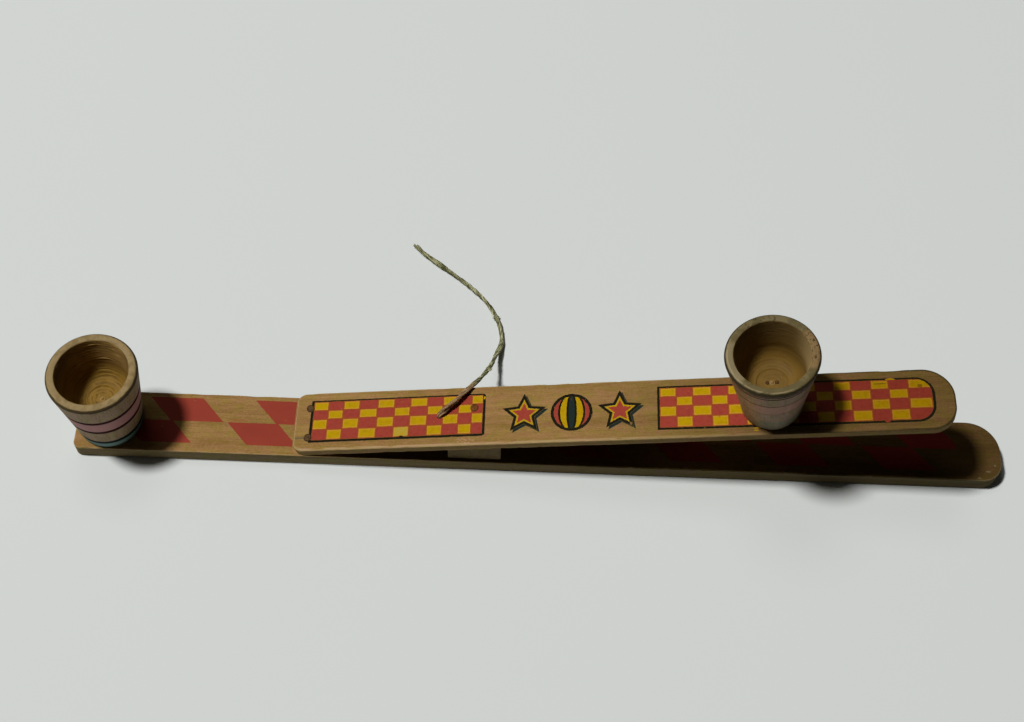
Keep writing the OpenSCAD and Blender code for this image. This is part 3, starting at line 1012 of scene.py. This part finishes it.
# %% Inks, and a start for every material
YELLOW = paint(172, 138, 0)
HALO = paint(188, 134, 46)
RED = paint(147, 59, 45)
JOIN = paint(132, 58, 18)
LINE = paint(24, 22, 8)
TEAL_BLACK = paint(28, 40, 36)
WOOD_PALE = paint(155, 123, 72)
WOOD_DARK = paint(126, 95, 51)


def read(name, out="Vector"):
    """Reads what a piece stored in its points."""
    return add("ShaderNodeAttribute", out=out, attribute_name=name)


def new_material(name, **constants):
    """A material with one Principled shader. Numbers that never change are set on the shader itself."""
    made = bpy.data.materials.new(name)
    made.use_nodes = True
    open_tree(made.node_tree)
    shader = here.nodes["Principled BSDF"].inputs
    for label, value in constants.items():
        shader[label.replace("_", " ")].default_value = value
    return made, Sockets(shader)


def old_wood(place, pale, dark, dashes, grime):
    return use(AGED_WOOD, Place=place, Pale=pale, Dark=dark, Dashes=dashes, Grime=grime)


def bump(height, distance, strength=1.0):
    return add("ShaderNodeBump", {"Height": height, "Distance": distance, "Strength": strength})


def shaken(place, size, amount, seed):
    """A place pushed a little aside at random, which makes printed edges ragged."""
    push = move("SUBTRACT", cloud(place, size, 2, seed, out="Color"), (0.5, 0.5, 0.5))
    return move("ADD", place, move("MULTIPLY", push, (amount, amount, 0)))


def dab(place, x, y, along, across):
    """A soft oval patch at x, y: 1 inside the given half sizes along and across, 0 outside."""
    off = move("DIVIDE", move("SUBTRACT", place, (x, y, 0)), (along, across, 1e6))
    return step(size_of(off), 1.15, 0.85)


def dabs(place, *spots):
    return [dab(place, *spot) for spot in spots]


print("inks are mixed")

# %% [markdown]
# ### The base board's finish
# Two rows of slanted red lozenges run along the base, set against each other, and stop short of its
# edges. Towards the hand's end the wood is far darker. Its sides are painted cooler than its top, and
# the top under the lath darker, a painted shade.

# %% Base material
PERIOD, SOFT = 43.5, 0.12
base_finish, shader = new_material("painted base wood", Specular_IOR_Level=0.03)
place = read("board_mm")
x, y, z = xyz(place)
wood = old_wood(place, WOOD_PALE, WOOD_DARK, 0.3, 0.3)
rx, ry, _ = xyz(shaken(place, (1.3, 1.3, 1.3), 0.35, 11.0))


def lozenges(first, width, lean, low, high):
    """One row of slanted lozenges between two heights across the board."""
    slid = rx - (high - ry) * lean
    part = calc("FRACT", (slid - first) / PERIOD) * PERIOD
    return step(part, width + SOFT, width) * step(ry, low, low + SOFT) * step(ry, high + SOFT, high)


rows = most(lozenges(28.5, 21.7, 0.89, 0.6, 11.4), lozenges(61.5, 20.9, 0.88, -9.5, 0.7))
left_field = step(rx, 16.0, 16.15) * step(rx, 89.2, 89.0)
right_field = step(rx, 178.0, 178.2) * step(rx, 362.0, 361.8)
top_side = step(z, BASE_THICK - 0.12, BASE_THICK - 0.05)
worn_off = step(cloud(place, (2.4, 0.9, 0.9), 4, 12.0), 0.69, 0.74)
red = rows * most(left_field, right_field) * top_side * (1.0 - worn_off)

# Darker towards the right end, the sides less than the top; the sides are painted cooler, a painted shade.
sides = step(z, BASE_THICK - 0.05, BASE_THICK - 0.4)
held = step(x, 110.0, 345.0) * (sides * -0.32 + 0.86)
colour = tint(held, wood["Color"], paint(108, 107, 93), "MULTIPLY")
colour = tint(sides, colour, (0.67, 0.88, 1.3, 1), "MULTIPLY")
red_ink = coats(paint(146, 57, 45), (wood["Blotch"] * 0.7, paint(124, 42, 32)),
                (held * 0.8, paint(88, 22, 18)))
smear = dab(place, 65.5, 1.9, 4.0, 0.7) * top_side
edge_mm = read("edge_mm", "Fac")
rub = use(RUBBED_EDGE, Distance=edge_mm, Place=place, Reach=0.45)["Mask"]
rubbed_wood = tint(step(x, 100.0, 200.0), paint(168, 142, 100), paint(70, 62, 40))
# A pale line along the front edge towards the right end: worn bare wood, and a painted highlight.
arris = step(abs(edge_mm - 0.35), 0.32, 0.12) * step(x, 170.0, 240.0) * step(y, 0.0, -6.0)
nicks = most(*dabs(
    place, (373.9, -9.1, 1.1, 0.35), (370.0, -12.2, 0.8, 0.35), (377.0, -6.2, 0.4, 0.5),
    (290.9, -13.2, 0.8, 0.5), (302.6, -13.2, 1.1, 0.5), (325.2, -13.3, 0.6, 0.4)))
nicks = nicks * step(z, BASE_THICK - 0.9, BASE_THICK - 0.5)
colour = coats(colour, (smear * 0.3, red_ink), (red * 0.95, red_ink), (rub * 0.6, rubbed_wood),
               (most(arris * 0.4, nicks * 0.7), paint(106, 98, 72)))
# Under the lath the top is painted darker, a painted shade where the lath's shadow falls.
hidden = step(x, 96.0, 118.0) * step(x, 265.0, 215.0) * top_side
shader["Base Color"] = tint(hidden, colour, paint(150, 146, 140), "MULTIPLY")
shader["Roughness"] = 0.66 - red * 0.16
shader["Normal"] = bump(wood["Height"] * 0.6 + red * 0.4, 0.05 * MM, 0.7)
count_nodes("base finish")

# %% [markdown]
# ### The lath's finish
# The left panel was printed by hand from a stencil whose columns are not of one width, so a curve
# turns the distance along the lath into the column's number. The right panel is even, and its line
# goes round the end of the lath. The motifs stand between them.

# %% Lath material: wood and panels
lath_finish, shader = new_material("printed lath wood", Specular_IOR_Level=0.03)
place = read("board_mm")
x, y, z = xyz(place)
wood = old_wood(place, WOOD_PALE, WOOD_DARK, 0.25, 0.3)
shaky = shaken(place, (1.1, 1.1, 1.1), 0.3, 21.0)
rx, ry, _ = xyz(shaky)


def count_cells(value, lines):
    """Turns a distance into a cell number by a curve, for cells that are not of one width."""
    ruler = here.nodes.new("ShaderNodeFloatCurve")
    span, last = lines[-1] - lines[0], len(lines) - 1
    curve = ruler.mapping.curves[0]
    curve.points[0].location, curve.points[-1].location = (0, 0), (1, 1)
    for number, at in enumerate(lines[1:-1], 1):
        curve.points.new((at - lines[0]) / span, number / last)
    for point in curve.points:
        point.handle_type = "VECTOR"
    ruler.mapping.update()
    Sockets(ruler.inputs)["Value"] = (value - lines[0]) / span
    return Wire(ruler.outputs[0]) * float(last)


def box(along, across, left, right, front, back, left_round, right_round):
    """Distance to a box with round corners."""
    return use(ROUND_BOX, Along=along, Across=across, Left=left, Right=right, Front=front, Back=back,
               Left_Round=left_round, Right_Round=right_round)["Distance"]


def panel(along, across, columns, rows, right_round, outside):
    """Checks between the given lines, and a dark line out to the outside box."""
    inside = box(along, across, columns[0], columns[-1], -rows[-1], -rows[0], 0.2, right_round)
    checks = use(CHECKS, Column=count_cells(along, columns), Row=count_cells(across * -1.0, rows),
                 Column_Width=6.8, Row_Height=4.5, Inside=step(inside, 0.06, -0.06))
    edge = box(along, across, *outside, 0.3, right_round + 1)
    return checks, step(edge, 0.08, -0.08) * step(inside, -0.02, 0.12)


LEFT_COLUMNS = [7.3, 13.4, 19.7, 26.5, 34.0, 41.1, 47.6, 54.8, 61.2, 67.6, 73.1, 77.6]
LEFT_ROWS = [-9.3, -5.25, -1.2, 3.55, 8.3]
RIGHT_COLUMNS = [148.9, 155.5, 161.9, 169.4, 175.8, 182.7, 189.5, 196.3, 203.1, 210.0, 216.8, 223.6, 231.2,
                 238.1, 245.4, 254.3]
RIGHT_ROWS = [-9.2, -5.15, -0.9, 3.8, 8.7]
skewed = ry - (rx - 42.0) * 0.006
left_checks, left_line = panel(rx, skewed, LEFT_COLUMNS, LEFT_ROWS, 0.3, (6.1, 78.7, -9.4, 9.95))
skewed = ry - (202.0 - rx) * 0.004
right_checks, right_line = panel(rx, skewed, RIGHT_COLUMNS, RIGHT_ROWS, 6.3, (147.9, 255.4, -9.7, 10.0))

# %% Lath material: the three motifs
MOTIF_LINE, SHADE = 1.15, (0.9, -0.9)
BALL_AT, BALL_R = 113.7, 8.4


def star(at, spike, notch, shift=(0, 0)):
    return use(STAR, Along=rx - at - shift[0], Across=ry - shift[1], Spike=spike, Notch=notch)["Distance"]


motif_yellow, motif_red, motif_line, motif_dark = [], [], [], []
for at in (94.5, 133.0):
    whole, heart = star(at, 9.3, 4.4), star(at, 5.0, 2.3)
    motif_yellow.append(step(whole, -MOTIF_LINE, -MOTIF_LINE - SOFT))
    motif_red.append(step(heart, 0.06, -0.06))
    motif_line.append(step(whole, 0.06, -0.06) * step(whole, -MOTIF_LINE, -MOTIF_LINE + SOFT))
    motif_dark.append(step(star(at, 9.3, 4.4, SHADE), 0.06, -0.06) * step(whole, 0.0, 0.1))
bx = rx - BALL_AT
from_middle = from_axis(bx, ry)
chord = calc("SQRT", most(BALL_R ** 2 - ry * ry, 0.01))
gore = (bx / chord + 1.0) * 2.5
in_ball = step(from_middle, BALL_R - MOTIF_LINE, BALL_R - MOTIF_LINE - SOFT)
odd_gore = calc("FLOOR", gore) % 2.0 > 0.5
seams = in_ball * step(to_line(gore, 0.4) * chord, 0.5, 0.36)
rim_line = step(from_middle, BALL_R + 0.06, BALL_R - 0.06) * step(
    from_middle, BALL_R - MOTIF_LINE - SOFT, BALL_R - MOTIF_LINE)
motif_yellow.append(in_ball)
motif_red.append(in_ball * (1.0 - odd_gore))
motif_dark.append(in_ball * step(abs(gore - 2.5), 0.51, 0.49))
motif_line += [seams, rim_line]

# %% Lath material: layers
top_side = step(z, LATH_THICK - 0.12, LATH_THICK - 0.05)
chips = step(cloud(place, (1.5, 0.8, 0.8), 4, 22.0), 0.68, 0.72)
sound = top_side * (1.0 - chips)
slips = dabs(shaky, (238.9, 9.1, 1.9, 0.75), (235.3, 8.3, 2.3, 0.35), (78.2, 8.2, 0.35, 0.7),
             (187.0, -10.1, 1.7, 0.22), (186.2, -11.1, 1.0, 0.2))
red_slip = dab(shaky, 236.5, -9.2, 1.0, 0.5)
stains = most(*dabs(shaky, (250.0, 6.0, 1.0, 0.75), (234.8, 7.5, 2.7, 0.22), (186.6, -10.6, 2.4, 0.2)))
line_gaps = step(cloud(place, (2.2, 2.2, 2.2), 3, 23.0), 0.70, 0.66)
for slip in (*slips[:3], red_slip):
    line_gaps = line_gaps * (1.0 - slip)
yellow, red, join, halo = (most(left_checks[ink], right_checks[ink], *more) * sound for ink, more in (
    ("Yellow", motif_yellow + slips), ("Red", motif_red + [red_slip]), ("Join", ()), ("Halo", ())))
line = most(left_line, right_line, *motif_line, dab(shaky, 44.6, -8.5, 0.95, 0.8)) * top_side * line_gaps
dark = most(*motif_dark) * top_side * line_gaps

# Darker towards the free end, the sides less than the top; the sides are painted cooler, a painted shade.
sides = step(z, LATH_THICK - 0.05, LATH_THICK - 0.4)
held = step(x, 90.0, 225.0) * (sides * -0.55 + 0.9)
held_wood = tint(held, wood["Color"], paint(164, 164, 156), "MULTIPLY")
held_wood = tint(sides, held_wood, (0.84, 0.96, 1.12, 1), "MULTIPLY")
smear = dab(place, 2.6, -7.3, 3.6, 0.5) * top_side
scuffs = dab(place, 71, -11.2, 4.5, 1.2) * step(cloud(place, (1.1, 0.6, 0.6), 2, 25.0), 0.5, 0.62)
held_wood = coats(held_wood, (smear * 0.75, paint(96, 88, 62)), (scuffs * 0.5, paint(186, 152, 112)))
mottle = cloud(place, (1.6, 1.6, 1.6), 4, 24.0)
rubbed_tile = dab(place, 44.3, -6.0, 3.6, 2.6) * step(mottle, 0.3, 0.6)
yellow_ink = coats(YELLOW, (step(mottle, 0.42, 0.8), paint(158, 122, 0)), (halo * 0.85, HALO),
                   (rubbed_tile * 0.6, paint(168, 148, 70)), (stains * 0.75, paint(104, 72, 12)))
red_ink = tint(step(mottle, 0.40, 0.8), RED, paint(136, 50, 38))
colour = coats(held_wood, (yellow, yellow_ink), (red, red_ink), (join * 0.8, JOIN))
worn_print = tint(1.0, colour, paint(212, 205, 196), "MULTIPLY")
edge_mm = read("edge_mm", "Fac")
rub = use(RUBBED_EDGE, Distance=edge_mm, Place=place, Reach=0.5)["Mask"]
rubbed_wood = tint(step(x, 130.0, 230.0), paint(168, 143, 102), paint(60, 52, 30))
# A pale line along the front edge: worn bare wood, and a painted highlight.
arris = step(abs(edge_mm - 0.75), 0.55, 0.2) * step(y, -11.0, -12.0) * top_side
arris = arris * step(x, 235.0, 60.0) * step(cloud(place, (7, 2, 2), 3, 26.0), 0.36, 0.48)
tip_edge = step(abs(edge_mm - 0.35), 0.4, 0.15) * step(x, 236.0, 246.0) * top_side
shader["Base Color"] = coats(
    colour, (step(x, 172.0, 226.0) * most(yellow, red), worn_print), (dark, TEAL_BLACK), (line, LINE),
    (rub * 0.6, rubbed_wood), (arris * 0.6, paint(174, 150, 114)), (tip_edge * 0.7, paint(44, 38, 18)))
inked = most(yellow, red, line)
shader["Roughness"] = 0.64 - inked * 0.2
shader["Normal"] = bump(wood["Height"] * 0.55 + inked * 0.5 + red * 0.25, 0.05 * MM, 0.7)
count_nodes("lath finish")

# %% [markdown]
# ### The block's finish
# Bare pale wood that was never varnished, with the saw's fine upright scratches on its sides.

# %% Block material
block_finish, shader = new_material("bare sawn wood", Specular_IOR_Level=0.07, Roughness=0.8)
place = read("board_mm")
wood = old_wood(place, paint(119, 104, 71), paint(91, 76, 48), 0.4, 0.5)
saw = cloud(place, (0.5, 0.35, 14), 2, 31.0)
shader["Base Color"] = tint(saw * 0.35, wood["Color"], paint(76, 62, 39))
shader["Normal"] = bump(saw + wood["Height"], 0.12 * MM, 0.8)
count_nodes("block finish")

# %% [markdown]
# ### The cups' finish
# A turned cup is painted while it spins, so every band is a ring: its colour depends only on the
# height. Dark has gathered in the grooves. The catch cup is lighter and its bands are clear, and the
# launch cup is greyer, more worn, and pitted on its rim.

# %% Cup material
class Look:
    """The named choices that make one cup differ from the other."""
    def __init__(self, **choices):
        self.__dict__.update(choices)


def cup_material(name, look):
    """A painted and worn cup. The look gives its inks, its bands and how worn it is."""
    made, shader = new_material(name, Specular_IOR_Level=0.1)
    seed, soft = look.seed, look.soft
    place = read("turned_mm")
    x, y, z = xyz(place)
    r = from_axis(x, y)
    in_hollow = step(read("hollow", "Fac"), 0.02, 0.15)
    outside = 1.0 - in_hollow
    wood = old_wood(vector(z, x, y), look.side, look.side_dark, look.dashes, look.grime)
    rings = cloud(vector(r, z), (0.8, 0.8, 1), 3, seed)
    torn = step(cloud(place, (5, 5, 3), 3, seed + 4), 0.36, 0.62)

    # Painted bands, and the dark that gathers in the grooves between them.
    level = z + (cloud(place, (5, 5, 2), 2, seed + 1) - 0.5) * (soft * 4)
    colour = wood["Color"]
    worn = step(cloud(place, (4, 4, 1.2), 4, seed + 2), look.patchy - 0.16, look.patchy)
    painted = worn * step(x, look.bare_to, look.bare_to + 8)
    for low, high, ink, strength in look.bands:
        band = step(level, low - soft, low + soft) * step(level, high + soft, high - soft)
        colour = tint(band * painted * strength, colour, ink)
    for groove, width, ink, strength in look.grooves:
        colour = tint(step(abs(z - groove), width, width * 0.55) * strength, colour, ink)
    # The side towards the lamp is painted warmer and lighter, a painted light, and the far side darker,
    # most of all low down, a painted shade.
    colour = tint(step(x, -2.0, -10.0) * look.warm_side, colour, (1.6, 1.26, 0.84, 1), "MULTIPLY")
    dim = step(x, 2.0, 15.0) * (step(z, 20.0, 0.0) * 0.5 + 0.5)
    colour = tint(dim, colour, paint(158, 146, 134), "MULTIPLY")

    # The rim: mottled on top, with a dark band on its outer rounding, dark paint deepened by painted shade.
    mottled = cloud(place, (2.6, 2.6, 2.6), 4, seed + 5)
    fingered = tint(step(mottled, 0.42, 0.6), paint(84, 74, 44), paint(100, 88, 56))
    rim = coats(
        look.rim, (step(mottled, 0.4, 0.62), look.rim_dark),
        (dab(place, *look.pale_at, 7.0, 9.0) * outside * 0.7, look.rim_pale),
        (dab(place, 15.5, 2, 5, 9) * look.rim_warm, paint(130, 102, 64)),
        (dab(place, 3, -16, 12, 5) * look.rim_warm, fingered))
    edge_z = z + (mottled * 0.8 - 0.4)
    edge = step(edge_z, CUP_H - 1.6, CUP_H - 1.4) * step(edge_z, CUP_H - 0.2, CUP_H - 0.4)
    edge = edge * outside * look.edge
    # A pale line on the rim's left and front edge: worn bare wood, and a painted highlight towards the
    # lamp.
    worn_line = step(abs(r - 16.8), 0.32, 0.16) * step(z, CUP_H - 0.3, CUP_H - 0.1)
    worn_line = worn_line * step(x + y, -4.0, -13.0) * step(mottled, 0.44, 0.5) * look.worn_line
    colour = coats(colour, (step(z, CUP_H - 0.75, CUP_H - 0.35) * outside, rim), (edge, look.edge_ink),
                   (worn_line, paint(184, 166, 126)))

    # The hollow, where rings of torn grain come and go.
    deep = step(z, CUP_H - 1, FLOOR_Z + 1)
    # One wall of the bowl is painted lighter, a painted light: the back wall of the catch cup, the right
    # wall of the launch cup.
    clean_x, clean_y = look.clean_side
    towards = x * clean_x + y * clean_y
    ringed = most(step(deep, 0.7, 0.97), look.wall_rings)
    bowl = coats(
        look.bowl, (deep, look.floor),
        (step(towards, 4.0, 14.0) * step(deep, 0.95, 0.3), look.clean),
        (step(rings, 0.40, 0.66) * torn * ringed * 0.5, look.bowl_ring),
        (step(read("wave", "Fac"), -0.1, -0.9) * ringed * look.ring_dirt, look.bowl_ring))
    nib = step(r, 1.1, 0.9) * step(z, FLOOR_Z + 3, FLOOR_Z + 1) * in_hollow
    pitted = most(dab(place, 15.2, 4, 3, 8), dab(place, -6, 14, 9, 4) * 0.7)
    pits = step(cloud(place, (1.0, 1.0, 1.0), 2, seed + 3), 0.57, 0.62)
    pits = pits * pitted * step(z, CUP_H - 2.5, CUP_H - 1) * look.pits
    colour = coats(colour, (in_hollow, bowl), (nib * 0.4, paint(168, 140, 92)), (pits, paint(48, 36, 22)))
    shader["Base Color"] = colour
    shader["Roughness"] = 0.52 + wood["Blotch"] * 0.2
    shader["Normal"] = bump(wood["Height"] * 0.25 + rings * torn * 0.9 - pits, 0.09 * MM, 0.8)
    count_nodes(name)
    return made


PINK, TEAL = paint(176, 120, 124), paint(100, 134, 130)
BROWN, GREEN = paint(66, 20, 10), paint(14, 36, 30)
catch_finish = cup_material("catch cup finish", Look(
    seed=41.0, side=paint(162, 141, 108), side_dark=paint(129, 106, 77), grime=0.4, dashes=0.4,
    patchy=0.42, soft=0.12, warm_side=0.1, bare_to=-40,
    bands=[(16.1, 25.5, PINK, 0.75), (0.2, 5.2, TEAL, 0.9)],
    grooves=[(5.2, 1.5, GREEN, 1.0), (16.1, 1.45, BROWN, 1.0), (25.5, 1.45, BROWN, 1.0)],
    rim=paint(142, 121, 82), rim_dark=paint(124, 104, 66), rim_pale=paint(142, 121, 82), rim_warm=0.0,
    pale_at=(-12, -2), edge=0.9, edge_ink=paint(50, 40, 20), worn_line=0.0, pits=0.1,
    bowl=paint(123, 96, 58), floor=paint(127, 98, 38), bowl_ring=paint(78, 52, 18),
    clean=paint(166, 132, 74), clean_side=(0.0, 1.0), ring_dirt=0.4, wall_rings=1.0))
launch_finish = cup_material("launch cup finish", Look(
    seed=51.0, side=paint(140, 118, 92), side_dark=paint(106, 86, 62), grime=0.6, dashes=0.1,
    patchy=0.5, soft=0.5, warm_side=0.8, bare_to=-11,
    bands=[(17.3, 25.9, paint(164, 112, 100), 0.5), (1.0, 8.5, paint(62, 92, 76), 0.42)],
    grooves=[(9.5, 0.7, BROWN, 0.05), (17.3, 0.8, BROWN, 0.12), (25.9, 0.8, BROWN, 0.35),
             (34.0, 0.6, BROWN, 0.8), (35.8, 0.6, BROWN, 0.8)],
    rim=paint(106, 93, 61), rim_dark=paint(88, 77, 46), rim_pale=paint(134, 120, 88), rim_warm=0.7,
    pale_at=(-15, -3), edge=0.95, edge_ink=paint(40, 35, 18), worn_line=0.3, pits=0.9,
    bowl=paint(112, 90, 50), floor=paint(107, 81, 32), bowl_ring=paint(80, 58, 24),
    clean=paint(166, 140, 92), clean_side=(0.98, -0.3), ring_dirt=0.3, wall_rings=0.25))

# %% [markdown]
# ### Rust, jute and the nails' heads
# The nails are brown with rust, dark round the edge of the head. The block's nail is the warmest. The
# jute is a straw colour with darker fibres along each ply, and is browner where it rubs on the lath.

# %% Nail and string materials
def in_mm():
    """The place on a piece that stays where it was made, in millimetres."""
    return move("MULTIPLY", add("ShaderNodeTexCoord", out="Object"), (1000, 1000, 1000))


def rust_material(name, head, pale, dark):
    """Rust with a dark ring at the edge of a head of the given radius."""
    made, shader = new_material(name, Specular_IOR_Level=0.12)
    flakes = cloud(in_mm(), (0.6, 0.6, 0.6), 4, 61.0)
    r = from_axis(*xyz(read("turned_mm"))[:2])
    shader["Base Color"] = coats(
        dark, (step(flakes, 0.35, 0.65), pale), (step(r, head * 0.7, head * 0.9) * 0.8, paint(44, 30, 14)))
    shader["Roughness"] = 0.5 + flakes * 0.35
    shader["Normal"] = bump(flakes, 0.08 * MM)
    return made


rust = rust_material("rusty nail", HEAD_R, paint(92, 66, 36), paint(54, 38, 18))
warm_rust = rust_material("warm rusty nail", HEAD_R, paint(118, 70, 18), paint(76, 42, 12))
brad_rust = rust_material("dark rusty brad", BRAD_HEAD_R, paint(84, 54, 24), paint(60, 36, 14))

jute_finish, shader = new_material("jute", Specular_IOR_Level=0.15, Roughness=0.9)
along = read("along_mm", "Fac")
slant = (read("around", "Fac") + along * -0.04) * math.tau
fibres = cloud(vector(calc("COSINE", slant), calc("SINE", slant), along * 0.16), (0.42, 0.42, 0.8), 3, 62.0)
place = in_mm()
patches = cloud(place, (6, 6, 6), 3, 63.0)
over_lath = step(xyz(place)[1], 18.0, 11.0)
straw = coats(paint(182, 181, 140), (step(patches, 0.35, 0.65), paint(150, 150, 110)),
              (over_lath * 0.85, paint(172, 138, 100)))
shade = tint(over_lath, paint(70, 68, 38), paint(112, 84, 58))
shader["Base Color"] = tint(step(fibres, 0.43, 0.54), straw, shade)
shader["Normal"] = bump(fibres, 0.2 * MM)
print("rust and jute are ready")

# %% [markdown]
# ## Put the finishes on, and tie the pieces to their bodies
# The base, the block, the catch cup and the string stand still. The launch cup and its brads ride on
# the moving arm. The lath is tied to neither body.

# %% Riding
def dress(thing, finish, node_names, body):
    """Gives a piece its finish, ties it to its body if one is given, and lets it stand for its CAD nodes.
    """
    thing.data.materials.clear()
    thing.data.materials.append(finish)
    if body:
        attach(thing, body)
    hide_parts(*node_names)


dress(base_board, base_finish, ["base_board"], "root")
dress(wedge_block, block_finish, ["wedge_block"], "root")
dress(catch_cup, catch_finish, ["catch_cup"], "root")
dress(launch_cup, launch_finish, ["launch_cup"], "spring_arm")
dress(string, jute_finish, ["string"], "root")
dress(knot, jute_finish, ["string_knot"], "root")
for name, nails in nail_sets.items():
    finish = {"lath_block_nail": warm_rust, "launch_cup_brads": brad_rust}.get(name, rust)
    dress(nails, finish, [name], "spring_arm" if name == "launch_cup_brads" else "root")

BEND_FROM, BEND_TO = 90, 132
dress(lath, lath_finish, ["lath_root", "lath_arm"], None)
start, stop = (lath_place @ Vector((a, 0, LATH_THICK / 2)) * MM for a in (BEND_FROM, BEND_TO))
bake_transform(lath)

[c * MM for c in ROUTE[0]]
[p * MM for p in string_line]

# %% [markdown]
# ## Floor and light
# The toy lies on plain pale paper under a soft lamp, 2.3 m up and a metre to its left: near enough
# for the shadows to lengthen towards the right. A weaker and wider lamp further behind gives the
# faint second shadow that falls towards the viewer. Their light doesn't fade with distance, so the
# paper is evenly lit. The world adds little, so the sides of the boards are lit mostly by what the
# paper throws back. Far from the toy, beyond the picture, the camera sees the paper in its plain
# colour.

# %% Floor
corners = [(-6, -6, 0), (6, -6, 0), (6, 6, 0), (-6, 6, 0)]
floor = link_object("floor", new_mesh("floor", corners, faces=[(0, 1, 2, 3)]))
floor.location.z = -0.0002
PAPER = paint(205, 208, 205)
floor_finish, shader = new_material("pale paper", Base_Color=PAPER, Roughness=1.0, Specular_IOR_Level=0.0)
far = step(size_of(add("ShaderNodeTexCoord", out="Object")), 0.7, 1.8)
glow = add("ShaderNodeEmission", {"Color": PAPER, "Strength": 1.0})
plain = Wire(here.nodes["Principled BSDF"].outputs[0])
seen = add("ShaderNodeLightPath", out="Is Camera Ray")
blend = add("ShaderNodeMixShader", {0: far * seen, 1: plain, 2: glow})
Sockets(here.nodes["Material Output"].inputs)["Surface"] = blend
floor.data.materials.append(floor_finish)

# %% Lamps and world
for name, at, watts, radius in (("main lamp", (-0.995, 0.07, 2.34), 39.5, 0.16),
                                ("weak lamp", (-0.53, 0.98, 2.34), 3.0, 0.45)):
    lamp = bpy.data.objects.new(name, bpy.data.lights.new(name, "POINT"))
    lamp.location = at
    lamp.data.energy = watts
    lamp.data.shadow_soft_size = radius
    lamp.data.use_nodes = True
    open_tree(lamp.data.node_tree)
    even = add("ShaderNodeLightFalloff", {"Strength": 1.0}, out="Constant")
    Sockets(here.nodes["Emission"].inputs)["Strength"] = even
    scene.collection.objects.link(lamp)

world = bpy.data.worlds.new("studio")
world.use_nodes = True
scene.world = world
open_tree(world.node_tree)
AMBIENT = 0.035
rays = node("ShaderNodeLightPath")
seen = most(rays["Is Camera Ray"], rays["Is Transmission Ray"])
background = here.nodes["Background"].inputs
background["Color"].default_value = PAPER
Sockets(background)["Strength"] = seen * (1 - AMBIENT) + AMBIENT

scene.view_settings.view_transform = "Standard"
print("lamps and world are set")

# %% [markdown]
